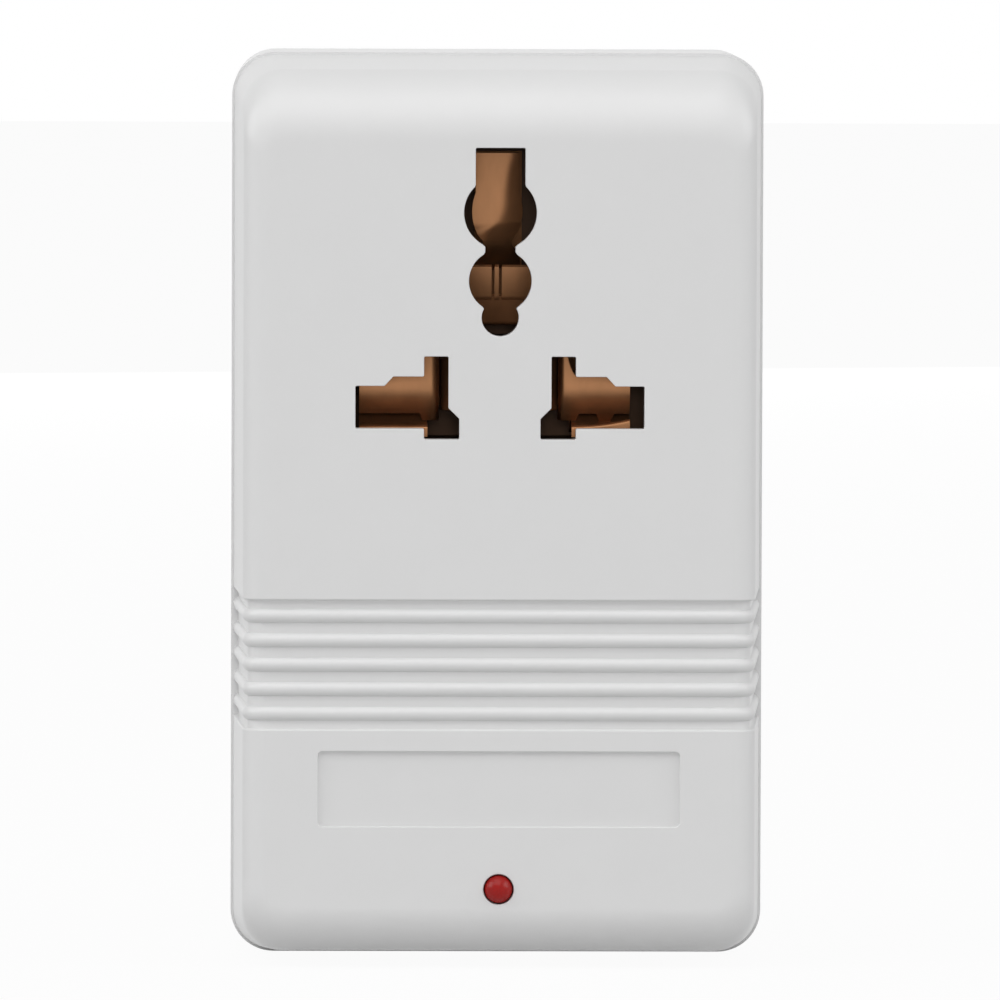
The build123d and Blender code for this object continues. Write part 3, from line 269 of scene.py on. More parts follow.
def eased(points, radius, steps=5):
    """Closed outline whose corners become arcs that touch both of their sides."""
    corner = np.asarray(points, float)
    before = np.roll(corner, 1, 0) - corner
    after = np.roll(corner, -1, 0) - corner
    before /= np.linalg.norm(before, axis=1, keepdims=True)
    after /= np.linalg.norm(after, axis=1, keepdims=True)
    half_angle = np.arccos(np.clip(np.sum(before * after, 1), -1, 1)) / 2
    middle = before + after
    middle /= np.linalg.norm(middle, axis=1, keepdims=True)
    centre = corner + middle * (radius / np.sin(half_angle))[:, None]
    start = corner + before * (radius / np.tan(half_angle))[:, None] - centre
    end = corner + after * (radius / np.tan(half_angle))[:, None] - centre
    share = np.linspace(0, 1, steps)[None, :, None]
    spoke = start[:, None] * (1 - share) + end[:, None] * share
    spoke *= radius / np.linalg.norm(spoke, axis=2, keepdims=True)
    return (centre[:, None] + spoke).reshape(-1, 2)


def circle(x, z, radius, steps=64):
    """Closed round outline."""
    return arc(x, z, radius, 0, 360 - 360 / steps, steps)


def box_outline(x, z, half_width, half_height, corner):
    """Closed rounded rectangle about a middle point."""
    return eased([(x - half_width, z - half_height), (x + half_width, z - half_height),
                  (x + half_width, z + half_height), (x - half_width, z + half_height)], corner)


def widths_outline(widths, low, high, steps):
    """Closed outline that is symmetric about X = 0, from its half width at each height."""
    z = low + (high - low) * (1 - np.cos(np.linspace(0, pi, steps))) / 2
    half = widths(z)
    right = np.stack([half, z], -1)
    left = np.stack([-half, z], -1)[::-1]
    return np.concatenate([right, left])


def spread(outline, distance):
    """Outline moved outwards by a distance along the mean normal of its neighbouring sides."""
    ahead = np.roll(outline, -1, 0) - outline
    ahead /= np.linalg.norm(ahead, axis=1, keepdims=True)
    behind = np.roll(ahead, 1, 0)
    mean = ahead + behind
    mean /= np.linalg.norm(mean, axis=1, keepdims=True)
    least_cosine = 0.5
    stretch = 1 / np.clip(np.sum(mean * ahead, 1, keepdims=True), least_cosine, 1)
    x, z = outline[:, 0], outline[:, 1]
    area = np.sum(x * np.roll(z, -1) - z * np.roll(x, -1))
    outward = np.stack([mean[:, 1], -mean[:, 0]], -1) * np.sign(area)
    return outline + outward * stretch * distance


# Openings, as seen from the front

def power_opening(sign):
    """Flat-pin slot with shoulders, joined to an upright blade slot with a flared foot."""
    corners = np.array(power_corners) + (0, pin_line_z)
    return eased(corners * (sign, 1), opening_corner)


def earth_opening():
    """Flat-pin slot over two round holes and a small round foot, as one half width.

    half = the widest of the slot, the channel and each circle's sqrt(radius^2 - height^2).
    """
    slot_top = pin_line_z + earth_slot_rise
    large_z, small_z, foot_z = (pin_line_z + rise for rise, _ in earth_holes)
    foot_radius = earth_holes[-1][1]
    foot_trim = 0.001

    def half_width(z):
        """Half width at a height, with the slot's upper corners rounded."""
        half = np.where(z > large_z, earth_slot_half, np.where(z > small_z, earth_channel_half, 0))
        for rise, radius in earth_holes:
            height = z - (pin_line_z + rise)
            half = np.maximum(half, np.sqrt(np.clip(radius ** 2 - height ** 2, 0, None)))
        corner = np.clip(z - (slot_top - opening_corner), 0, opening_corner)
        return half - (opening_corner - np.sqrt(opening_corner ** 2 - corner ** 2))

    return widths_outline(half_width, foot_z - foot_radius + foot_trim, slot_top, 121)


# Meshes

def unit(vectors):
    """Vectors of length one."""
    return vectors / np.maximum(np.linalg.norm(vectors, axis=-1, keepdims=True), 1e-12)


def grid(x, y, z):
    """Points from three coordinates that are broadcast to one shape."""
    return np.stack(np.broadcast_arrays(x, y, z), -1)


def at_depth(flat, depth):
    """Points in space from points in X and Z, at one depth or at one for each row."""
    return grid(flat[..., 0], depth, flat[..., 1])


class Skin:
    """Patches of one piece, joined where their edges meet, each with its own exact normals."""

    def __init__(self):
        self.points, self.normals, self.faces, self.count = [], [], [], 0

    def add(self, points, normals, faces):
        """One patch. Its faces are turned so that they agree with its normals."""
        first = points[faces[:, 1]] - points[faces[:, 0]]
        last = points[faces[:, -1]] - points[faces[:, 0]]
        against = np.sum(np.cross(first, last) * normals[faces[:, 0]], 1) < 0
        faces = np.where(against[:, None], faces[:, ::-1], faces)
        self.points.append(points)
        self.normals.append(normals)
        self.faces.append(faces + self.count)
        self.count += len(points)

    def sheet(self, points, outward, closed=False):
        """Grid of points. Its normal is the cross product of its tangents, on the outward side."""
        rows, columns = points.shape[:2]
        down = np.gradient(points, axis=0, edge_order=min(2, rows - 1))
        if closed:
            across = np.roll(points, -1, 1) - np.roll(points, 1, 1)
        else:
            across = np.gradient(points, axis=1, edge_order=min(2, columns - 1))
        normals = unit(np.cross(down, across))
        normals *= np.where(np.sum(normals * outward, -1, keepdims=True) < 0, -1, 1)
        index = np.arange(rows * columns).reshape(rows, columns)
        if closed:
            index = np.concatenate([index, index[:, :1]], 1)
        faces = np.stack([index[:-1, :-1], index[1:, :-1], index[1:, 1:], index[:-1, 1:]], -1)
        self.add(points.reshape(-1, 3), normals.reshape(-1, 3), faces.reshape(-1, 4))

    def plate(self, outlines, depth, facing):
        """Flat patch across Y, bounded by its first outline and open inside the others."""
        flat = np.concatenate(outlines)
        loops = [[Vector((x, z, 0)) for x, z in outline] for outline in outlines]
        faces = np.array(tessellate_polygon(loops))
        self.add(at_depth(flat, depth), np.tile((0.0, facing, 0.0), (len(flat), 1)), faces)

    def well(self, outline, front, back, lip, facing=-1):
        """Wall of an opening from one depth to another, with a rounded lip at its front.

        The lip is a quarter circle: offset = lip * (1 - sin(angle)), depth = lip * (1 - cos(angle)).
        """
        angle = np.linspace(0, pi / 2, 5)
        offsets = np.append(lip * (1 - np.sin(angle)), 0)
        levels = np.append(front - facing * abs(lip) * (1 - np.cos(angle)), back)
        rings = np.stack([spread(outline, offset) for offset in offsets])
        inward = unit(spread(outline, -1.0) - outline)
        tilt = 0.5
        self.sheet(at_depth(rings, levels[:, None]), at_depth(inward, facing * tilt), closed=True)

    def mesh(self, name):
        """Joins points that coincide, and keeps each patch's own normals at its corners.

        Points coincide when they round to the same step. A small shift keeps round measures
        away from the edge between two steps.
        """
        points, normals = np.concatenate(self.points), np.concatenate(self.normals)
        step, shift = 0.0005, 0.000137
        keys = np.round((points + shift) / step).astype(np.int64)
        _, keep, where = np.unique(keys, axis=0, return_index=True, return_inverse=True)
        where = where.reshape(-1)
        faces, corners = [], []
        for patch in self.faces:
            joined = where[patch]
            distinct = joined != np.roll(joined, 1, 1)
            for size in (4, 3):
                kept = distinct.sum(1) == size
                faces += joined[kept][distinct[kept]].reshape(-1, size).tolist()
                corners.append(patch[kept][distinct[kept]])
        data = bpy.data.meshes.new(name)
        data.from_pydata((points[keep] * mm).tolist(), [], faces)
        data.polygons.foreach_set("use_smooth", np.ones(len(faces), bool))
        exact = normals[np.concatenate(corners)]
        mark_creases(data, exact)
        data.normals_split_custom_set(exact.tolist())
        data.update()
        return data


def mark_creases(data, normals):
    """Marks as sharp each edge at which the normals of its two faces differ."""
    starts = np.zeros(len(data.polygons), int)
    totals = np.zeros(len(data.polygons), int)
    edges = np.zeros(len(data.loops), int)
    data.polygons.foreach_get("loop_start", starts)
    data.polygons.foreach_get("loop_total", totals)
    data.loops.foreach_get("edge_index", edges)
    ahead = np.arange(len(edges)) + 1
    ahead[starts + totals - 1] = starts
    order = np.argsort(edges, kind="stable")
    first, second = order[:-1], order[1:]
    pair = edges[first] == edges[second]
    first, second = first[pair], second[pair]
    apart = np.maximum(np.abs(normals[first] - normals[ahead[second]]).max(1),
                       np.abs(normals[ahead[first]] - normals[second]).max(1))
    least_difference = 0.03
    sharp = np.zeros(len(data.edges), bool)
    sharp[edges[first[apart > least_difference]]] = True
    data.attributes.new("sharp_edge", "BOOLEAN", "EDGE").data.foreach_set("value", sharp)


def piece(name, data, material, body, slot, *replaced):
    """Object of the visual model: its material, the body that it rides on and what it replaces."""
    made = bpy.data.objects.new(name, data)
    bpy.context.scene.collection.objects.link(made)
    data.materials.append(material)
    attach(made, body)
    if replaced:
        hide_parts(*replaced)
    return made


def walls(skin, levels, halves, rises, corners, foot_z, sign, outward):
    """Rolled side, end and corner walls of a shell above or below the grip band."""
    xs, zs = arch(halves, rises, corners, foot_z, sign)
    points = grid(xs, levels[:, None], zs)
    skin.sheet(points, outward * grid(xs, 0, (zs - middle_z) / 2))
    return points[0][:, ::2], points[-1][:, ::2]


def band_profile():
    """Depth below the surface at each height of the grip band, from its top to its foot.

    Between rounded lips the floor lies at the groove depth, and each ridge is a circle:
    depth = radius - sqrt(radius^2 - (z - centre)^2), where that is less than the groove depth.
    """
    centres = band_top_z - first_ridge_drop - ridge_pitch * np.arange(ridge_count)
    reach = np.sqrt(ridge_radius ** 2 - (ridge_radius - groove_depth) ** 2)
    angle = np.linspace(0, pi / 2, 5)
    lip_z, lip_depth = groove_lip * np.sin(angle), groove_lip * (1 - np.cos(angle))
    swing = np.linspace(-1, 1, 17)[None]
    ridge_z = centres[:, None] - reach * np.sin(swing * pi / 2)
    ridge_depth = ridge_radius - np.sqrt(ridge_radius ** 2 - (ridge_z - centres[:, None]) ** 2)
    floor_start = groove_lip + 0.05
    z = np.concatenate([band_top_z - lip_z, [band_top_z - floor_start], ridge_z.reshape(-1),
                        [band_low_z + floor_start], band_low_z + lip_z[::-1]])
    depth = np.concatenate([lip_depth, [groove_depth], ridge_depth.reshape(-1),
                            [groove_depth], lip_depth[::-1]])
    return z, depth


def grip_band(skin, levels, halves):
    """Grooves and ridges carried round the sides and the face along the shell's plan view.

    point = plan - depth * normal, where the normal is square to the plan's own tangent.
    """
    plan = np.concatenate([np.stack([halves, levels], -1)[::-1], np.stack([-halves, levels], -1)])
    tangent = np.gradient(plan, axis=0, edge_order=2)
    face_end = len(levels) - 1
    tangent[face_end:face_end + 2] = (-1.0, 0.0)
    normal = unit(np.stack([-tangent[:, 1], tangent[:, 0]], -1))
    z, depth = band_profile()
    flat = plan[None] - depth[:, None, None] * normal[None]
    points = grid(flat[..., 0], flat[..., 1], z[:, None])
    points[:, [0, -1], 1] = parting_y
    skin.sheet(points, grid(normal[:, 0], normal[:, 1], 0))
    return points[:, 0, ::2], points[:, -1, ::2]


def closed_outline(upper, lower):
    """One outline from an upper and a lower arch that meet at their feet."""
    return np.concatenate([upper, lower[::-1][1:-1]])


def boss(skin, x, z, radius, bore, front, back, floor):
    """Closed round post with a blind hole in its back end."""
    rings = [circle(x, z, size, 32) for size in (radius, radius, bore, bore)]
    ends = (front, back, back, floor)
    around = at_depth(rings[0] - (x, z), 0)
    for first, sign in ((0, 1), (2, -1)):
        pair = [at_depth(ring, end) for ring, end in zip(rings[first:first + 2], ends[first:first + 2])]
        skin.sheet(np.stack(pair), sign * around, closed=True)
    skin.plate([rings[0]], front, -1)
    skin.plate([rings[0], rings[2]], back, 1)
    skin.plate([rings[2]], floor, 1)


def front_shell():
    """White front moulding: rolled walls, flat face with its openings, and the grip band."""
    skin = Skin()
    levels = depths(face_y, parting_y, top_roll, 26)
    halves = rolled(face_half, rim_half, side_roll, face_y, parting_y, levels)
    drafted = face_half + (levels - face_y) * (rim_half - face_half) / (parting_y - face_y)
    corners = front_corner - (drafted - halves)
    above = rolled(face_rise, rim_rise, top_roll, face_y, parting_y, levels)
    below = rolled(face_rise, rim_rise, bottom_roll, face_y, parting_y, levels)
    upper, upper_rim = walls(skin, levels, halves, above, corners, band_top_z, 1, 1)
    lower, lower_rim = walls(skin, levels, halves, below, corners, band_low_z, -1, 1)
    openings = [power_opening(-1), power_opening(1), earth_opening()]
    lamp_hole = circle(0, lamp_z, lamp_hole_radius)
    recess = box_outline(0, (recess_low_z + recess_top_z) / 2, recess_half_width,
                         (recess_top_z - recess_low_z) / 2, recess_corner)
    skin.plate([upper] + [spread(outline, opening_lip) for outline in openings], face_y, -1)
    skin.plate([lower, spread(recess, recess_lip), spread(lamp_hole, lamp_hole_lip)], face_y, -1)
    inner_y = face_y + wall
    for outline in openings:
        skin.well(outline, face_y, inner_y, opening_lip)
    skin.well(lamp_hole, face_y, inner_y, lamp_hole_lip)
    skin.well(recess, face_y, face_y + recess_depth, recess_lip)
    skin.plate([recess], face_y + recess_depth, -1)
    right_rim, left_rim = grip_band(skin, levels, halves)

    within = depths(inner_y, parting_y, top_roll - wall, 12)
    inner_halves = rolled(face_half - wall, rim_half - wall, inner_roll, inner_y, parting_y, within)
    inner_corners = np.full_like(within, front_corner - wall)
    inner_rises = [rolled(face_rise - wall, rim_rise - wall, roll - wall, inner_y, parting_y, within)
                   for roll in (top_roll, bottom_roll)]
    inside = [walls(skin, within, inner_halves, rise, inner_corners, middle_z, sign, -1)
              for sign, rise in zip((1, -1), inner_rises)]
    skin.plate([closed_outline(inside[0][0], inside[1][0]), *openings, lamp_hole], inner_y, 1)
    rim = np.concatenate([upper_rim, left_rim[1:-1], lower_rim[::-1], right_rim[::-1][1:-1]])
    skin.plate([rim, closed_outline(inside[0][1], inside[1][1])], parting_y, 1)
    for (x, z), front in zip(screw_places, boss_fronts):
        boss(skin, x, z, front_boss_radius, screw_hole_radius, front, parting_y, screw_hole_floor)
    return skin


def rear_shell():
    """White rear moulding: rolled back, raised plug pad, screw wells and selector recess."""
    skin = Skin()
    levels = depths(-rear_y, -parting_y, rear_roll, 14)
    halves = rolled(rear_half, rear_half, rear_roll, -rear_y, -parting_y, levels)
    rises = halves - rear_half + rear_rise
    corners = rear_corner - (rear_half - halves)
    outside = [walls(skin, -levels, halves, rises, corners, middle_z, sign, 1) for sign in (1, -1)]
    inner_y = rear_y - wall
    within = np.linspace(parting_y, inner_y, 3)
    plain = np.ones_like(within)
    inside = [walls(skin, within, plain * (rear_half - wall), plain * (rear_rise - wall),
                    plain * (rear_corner - wall), middle_z, sign, -1) for sign in (1, -1)]
    pad = box_outline(0, plug_z, pad_half_width, pad_half_height, pad_corner)
    slots = [box_outline(sign * blade_x, plug_z, blade_slot_half, blade_slot_rise, slot_corner)
             for sign in (-1, 1)]
    recess = box_outline(0, selector_z, selector_half_width, selector_half_height, selector_corner)
    window = box_outline(0, selector_z, window_half_width, window_half_height, slot_corner)
    wells = [circle(x, z, well_radius, 48) for x, z in screw_places]
    holes = [circle(x, z, screw_hole_radius, 48) for x, z in screw_places]
    posts = [circle(x, z, rear_boss_radius, 48) for x, z in screw_places]
    skin.plate([closed_outline(outside[0][0], outside[1][0]), pad, spread(recess, opening_lip),
                *[spread(well, opening_lip) for well in wells]], rear_y, 1)
    pad_y = rear_y + pad_rise
    skin.well(pad, pad_y, rear_y, -pad_lip, facing=1)
    skin.plate([spread(pad, -pad_lip), *[spread(slot, opening_lip) for slot in slots]], pad_y, 1)
    for slot in slots:
        skin.well(slot, pad_y, inner_y, opening_lip, facing=1)
    skin.well(recess, rear_y, rear_y - selector_depth, opening_lip, facing=1)
    skin.plate([recess, window], rear_y - selector_depth, 1)
    skin.well(window, rear_y - selector_depth, inner_y, 0, facing=1)
    for well, hole, post in zip(wells, holes, posts):
        skin.well(well, rear_y, screw_seat_y, opening_lip, facing=1)
        skin.plate([well, hole], screw_seat_y, 1)
        skin.well(hole, screw_seat_y, parting_y, 0, facing=1)
        skin.plate([post, hole], parting_y, -1)
        around = at_depth(post - post.mean(0), 0)
        skin.sheet(at_depth(np.stack([post, post]), [[parting_y], [inner_y]]), around, closed=True)
    skin.plate([closed_outline(inside[0][1], inside[1][1]), *slots, window, *posts], inner_y, -1)
    skin.plate([closed_outline(outside[0][1], outside[1][1]), closed_outline(inside[0][0], inside[1][0])],
               parting_y, -1)
    return skin


def turned(skin, profile, steps=48):
    """Surface of revolution about the lamp's axis: x = radius * cos, z = radius * sin."""
    radius, depth = np.array(profile).T
    angle = np.linspace(0, 2 * pi, steps, endpoint=False)
    radius, depth = radius[:, None], depth[:, None]
    points = grid(radius * np.cos(angle), depth, lamp_z + radius * np.sin(angle))
    skin.sheet(points, points - (0, depth.mean(), lamp_z), closed=True)


def lamp_lens():
    """Domed lens: a hemisphere on a short cylinder with a flange at its foot."""
    skin = Skin()
    tip, foot = lamp_low[1], lamp_high[1]
    shoulder = foot - lens_flange_thickness
    support = 0.3
    angle = np.linspace(0, pi / 2, 14)
    dome = np.stack([lens_radius * np.sin(angle), tip + lens_radius * (1 - np.cos(angle))], -1)
    side = [(lens_radius, shoulder - support), (lens_radius, shoulder)]
    turned(skin, np.concatenate([dome, side]))
    turned(skin, [(lens_radius, shoulder), (lens_flange_radius, shoulder)])
    turned(skin, [(lens_flange_radius, shoulder), (lens_flange_radius, foot)])
    turned(skin, [(lens_flange_radius, foot), (0, foot)])
    return skin


def eased_line(points, rounds=3):
    """Open line with rounded corners: each is cut at a quarter of both its sides, and again."""
    cut = 0.25
    line = np.asarray(points, float)
    for _ in range(rounds):
        near = line[:-1] * (1 - cut) + line[1:] * cut
        far = line[:-1] * cut + line[1:] * (1 - cut)
        line = np.concatenate([line[:1], np.stack([near, far], 1).reshape(-1, line.shape[1]), line[-1:]])
    return line


def smooth_step(value):
    """Rises from 0 to 1 as its value does: 3 v^2 - 2 v^3."""
    value = np.clip(value, 0, 1)
    return value ** 2 * (3 - 2 * value)


def bent_strip(skin, front, facing=(0, -1, 0)):
    """Closed strip from a grid of points on its front: back = front - thickness * normal.

    facing is the side to which the front looks at the last point of its first row.
    """
    down = np.gradient(front, axis=0, edge_order=min(2, len(front) - 1))
    across = np.gradient(front, axis=1, edge_order=min(2, front.shape[1] - 1))
    normal = unit(np.cross(down, across))
    normal *= np.sign(np.sum(normal[0, -1] * facing))
    back = front - strip_thickness * normal
    skin.sheet(front, normal)
    skin.sheet(back, -normal)
    for edge, inner in ((0, 1), (-1, -2)):
        skin.sheet(np.stack([front[edge], back[edge]]), front[edge] - front[inner])
        skin.sheet(np.stack([front[:, edge], back[:, edge]]), front[:, edge] - front[:, inner])


def carried(line, xs):
    """Grid from a line of depth and rise, rounded and carried across at each X."""
    line = eased_line(line)
    return grid(xs, line[:, :1], pin_line_z + line[:, 1:])


def power_leaf(outer_x, bend_x, bend_radius, finger, tab_drop):
    """Broad front leaf of a power contact, bent back at its inner end and leaning at its foot.

    point = plan(x) + lean(rise). The plan is flat and turns back at the bend, and the lean
    grows as the square of the drop below its top. finger lowers the top beside the blade slot,
    and tab_drop is the reach of the outer tab on the lower edge.
    """
    turn = np.radians(np.linspace(leaf_turn, 0, 10))
    turn_x = bend_x - bend_radius * np.sin(turn)
    turn_y = leaf_y + bend_radius * (1 - np.cos(turn))
    flat_x = np.linspace(bend_x, outer_x, 70)[1:]
    x = np.concatenate([[turn_x[0] - leaf_flange[0]], turn_x, flat_x])
    y = np.concatenate([[turn_y[0] + leaf_flange[1]], turn_y, np.full_like(flat_x, leaf_y)])
    inner_tab = inner_tab_drop * smooth_step((inner_tab_x - x) / tab_slope)
    outer_tab = (tab_drop * smooth_step((x - outer_tab_xs[0]) / tab_slope)
                 * smooth_step((outer_tab_xs[1] - x) / outer_tab_slope))
    low = leaf_low - inner_tab - outer_tab
    top = np.interp(x, *np.transpose(finger_line)) if finger else np.full_like(x, leaf_top)
    rise = top + np.linspace(0, 1, 60)[:, None] * (low - top)
    lean = lean_depth * (np.clip(lean_top - rise, 0, None) / (lean_top - leaf_low)) ** 2
    return grid(x, y + lean, pin_line_z + rise)


def power_contact(sign, outer_x, bend_x, bend_radius, finger=False, tab_drop=0.0, lift=0.0):
    """Power contact: front leaf, loop to the web, lower jaw, side leaf and tail.

    lift raises the jaw's front edge by the square of the way to its outer end.
    """
    skin = Skin()
    side = (sign, 1, 1)
    bent_strip(skin, power_leaf(outer_x, bend_x, bend_radius, finger, tab_drop) * side)
    xs = np.linspace(jaw_inner_x, outer_x, 14)
    bent_strip(skin, carried(loop_line, xs) * side, (0, 0, 1))
    jaw = carried(jaw_line, xs)
    way_out = (xs - jaw_inner_x) / (outer_x - jaw_inner_x)
    above_foot = smooth_step((jaw[..., 2] - pin_line_z - jaw_foot) / jaw_lift_height)
    near_front = smooth_step((jaw_lift_y - jaw[..., 1]) / jaw_lift_reach)
    jaw[..., 2] += lift * way_out ** 2 * above_foot * near_front
    bent_strip(skin, jaw * side)
    plan = eased_line(side_leaf_line)
    side_leaf = grid(plan[:, :1], plan[:, 1:], pin_line_z + np.linspace(leaf_top, side_leaf_low, 12))
    bent_strip(skin, side_leaf * side, (sign, -1, 0))
    tail_xs = neutral_outer_x - np.linspace(0, tail_width, 4)
    half = strip_thickness / 2
    tail = carried([(web_y - tail_lap, half), (tail_end_y, half)], tail_xs)
    bent_strip(skin, tail * side, (0, 0, 1))
    return skin


def earth_leaf():
    """Upper leaf of the earth contact.

    half = the widest of the bulge's ellipse, the straight upper part and the flared foot.
    Depth grows as the square of the drop below the bend, and to the right of a slanting crease
    the leaf falls back evenly.
    """
    rise = np.linspace(earth_leaf_top, earth_leaf_low, 80)[:, None]
    way_across = np.linspace(-1, 1, 33)
    height = (rise - earth_bulge_rise) / earth_bulge_reach
    bulge = earth_bulge_half * np.sqrt(np.clip(1 - height ** 2, 0, None))
    upper = np.where(rise > earth_bulge_rise, earth_upper_half, 0)
    foot = earth_neck_half + earth_foot_flare * smooth_step((earth_foot_rise - rise) / earth_foot_reach)
    half = np.maximum(np.maximum(bulge, upper), foot)
    back = earth_bend_rate * np.clip(earth_bend_rise - rise, 0, None) ** 2
    crease = np.interp(rise, *np.transpose(earth_crease))
    past = earth_crease_softness * np.logaddexp(0, (way_across - crease) / earth_crease_softness)
    return grid(earth_leaf_x + half * way_across,
                earth_leaf_y + back + earth_crease_fall * past * half, pin_line_z + rise)


def earth_contact():
    """Earth contact: upper leaf, cross strip in three lengths, and bar with its loop to the web."""
    skin = Skin()
    bent_strip(skin, earth_leaf())
    ends = (-earth_cross_half, *earth_slits, earth_cross_half)
    for low_x, high_x in zip(ends[::2], ends[1::2]):
        bent_strip(skin, carried(earth_cross_line, np.linspace(low_x, high_x, 6)))
    bent_strip(skin, carried(earth_bar_line, np.linspace(-earth_bar_half, earth_bar_half, 9)))
    return skin


# Materials

def noise_of(tree, place, size, detail):
    """Noise texture with a grain of the given size in millimetres."""
    noise = tree.nodes.new("ShaderNodeTexNoise")
    noise.inputs["Scale"].default_value = 1 / (size * mm)
    noise.inputs["Detail"].default_value = detail
    tree.links.new(place, noise.inputs["Vector"])
    return noise.outputs["Fac"]


def shader(name, colour, roughness, metallic=0.0, grain=None, mottle=None, **sockets):
    """Principled material on Object coordinates.

    grain is (size, height) of a fine bump in millimetres. mottle is (size, amount, stretch)
    of a soft variation in colour and roughness, stretched along Z.
    """
    made = bpy.data.materials.new(name)
    made.use_nodes = True
    tree = made.node_tree
    surface = tree.nodes["Principled BSDF"]
    surface.inputs["Base Color"].default_value = (*colour, 1)
    surface.inputs["Roughness"].default_value = roughness
    surface.inputs["Metallic"].default_value = metallic
    for socket, value in sockets.items():
        surface.inputs[socket.replace("_", " ")].default_value = value
    place = tree.nodes.new("ShaderNodeTexCoord").outputs["Object"]
    if grain:
        size, height = grain
        bump = tree.nodes.new("ShaderNodeBump")
        bump.inputs["Distance"].default_value = height * mm
        tree.links.new(noise_of(tree, place, size, 3), bump.inputs["Height"])
        tree.links.new(bump.outputs["Normal"], surface.inputs["Normal"])
    if mottle:
        size, amount, stretch = mottle
        mapping = tree.nodes.new("ShaderNodeMapping")
        mapping.inputs["Scale"].default_value = (1, 1, 1 / stretch)
        tree.links.new(place, mapping.inputs["Vector"])
        noise = noise_of(tree, mapping.outputs["Vector"], size, 5)
        tint = tree.nodes.new("ShaderNodeMix")
        tint.data_type = "RGBA"
        tint.inputs["A"].default_value = (*[channel * (1 - amount) for channel in colour], 1)
        tint.inputs["B"].default_value = (*[min(channel * (1 + amount), 1) for channel in colour], 1)
        rough = tree.nodes.new("ShaderNodeMapRange")
        rough.inputs["To Min"].default_value = roughness * (1 - amount)
        rough.inputs["To Max"].default_value = min(roughness * (1 + amount), 1)
        tree.links.new(noise, tint.inputs["Factor"])
        tree.links.new(noise, rough.inputs["Value"])
        tree.links.new(tint.outputs["Result"], surface.inputs["Base Color"])
        tree.links.new(rough.outputs["Result"], surface.inputs["Roughness"])
    return made


white_abs = shader("white_abs", (0.66, 0.66, 0.66), 0.36, grain=(0.25, 0.003), mottle=(6, 0.012, 1),
                   Specular_IOR_Level=0.35)
bronze = shader("bronze", (0.44, 0.21, 0.095), 0.42, 0.75, grain=(0.3, 0.004), mottle=(2.2, 0.28, 3))
insulator = shader("insulator", (0.11, 0.065, 0.042), 0.55, grain=(0.3, 0.004), mottle=(3, 0.15, 1))
nickel = shader("nickel", (0.70, 0.69, 0.66), 0.24, 1.0, grain=(0.4, 0.001), mottle=(2, 0.08, 4))
zinc = shader("zinc", (0.55, 0.55, 0.55), 0.32, 1.0, grain=(0.3, 0.002), mottle=(1.5, 0.12, 1))
tinned = shader("tinned", (0.68, 0.68, 0.67), 0.3, 1.0, grain=(0.3, 0.002), mottle=(1, 0.1, 1))
laminations = shader("laminations", (0.16, 0.16, 0.17), 0.5, 0.7, grain=(0.35, 0.01), mottle=(4, 0.2, 1))
enamel = shader("enamel", (0.45, 0.17, 0.06), 0.3, 0.8, grain=(0.25, 0.02), mottle=(2, 0.15, 0.2))
nylon = shader("nylon", (0.68, 0.64, 0.54), 0.45, grain=(0.4, 0.003), mottle=(5, 0.04, 1))
polyester = shader("polyester", (0.62, 0.47, 0.07), 0.25, grain=(0.8, 0.004), mottle=(4, 0.06, 1))
red_epoxy = shader("red_epoxy", (0.29, 0.008, 0.006), 0.22, grain=(2, 0.002), mottle=(1.2, 0.2, 1),
                   Specular_IOR_Level=0.2)
phenolic = shader("phenolic", (0.36, 0.24, 0.1), 0.5, grain=(0.3, 0.003), mottle=(3, 0.12, 1))
lacquer = shader("lacquer", (0.48, 0.38, 0.24), 0.35, grain=(0.3, 0.003), mottle=(1, 0.1, 1))
glass_black = shader("glass_black", (0.02, 0.02, 0.022), 0.3, grain=(0.3, 0.002), mottle=(1, 0.2, 1))
black_nylon = shader("black_nylon", (0.02, 0.02, 0.022), 0.45, grain=(0.25, 0.004), mottle=(3, 0.15, 1))
red_nylon = shader("red_nylon", (0.42, 0.02, 0.015), 0.38, grain=(0.25, 0.004), mottle=(3, 0.08, 1))
cord_black = shader("cord_black", (0.018, 0.018, 0.02), 0.45, grain=(0.3, 0.004), mottle=(3, 0.15, 1))
cord_white = shader("cord_white", (0.62, 0.62, 0.6), 0.45, grain=(0.3, 0.004), mottle=(3, 0.05, 1))
cord_red = shader("cord_red", (0.4, 0.02, 0.015), 0.45, grain=(0.3, 0.004), mottle=(3, 0.08, 1))
grey_ink = shader("grey_ink", (0.05, 0.05, 0.055), 0.5, grain=(0.2, 0.001), mottle=(1, 0.1, 1))

# The material of each CAD piece that stays as it is
finishes = {
    insulator: ["contact_retainer"],
    zinc: ["contact_retainer_screws", "blade_retainer_screws", "selector_screws", "thermal_fuse"],
    tinned: ["led_leads", "bobbin_terminals", "selector_terminals"],
    phenolic: ["led_board"],
    lacquer: ["led_resistor"],
    glass_black: ["led_diode"],
    laminations: ["core_e_stack", "core_i_stack"],
    nylon: ["bobbin"],
    enamel: ["primary_winding", "secondary_winding"],
    polyester: ["winding_tape"],
    black_nylon: ["blade_retainer", "selector_body"],
    bronze: ["selector_wiper"],
    cord_black: ["blade_wire_left", "output_wire_live"],
    cord_white: ["blade_wire_right", "output_wire_neutral", "selector_wires"],
    cord_red: ["fuse_wire", "led_wires"],
}
for finish, names in finishes.items():
    for name in names:
        mesh = nodes[name].data
        mesh.materials.clear()
        mesh.materials.append(finish)


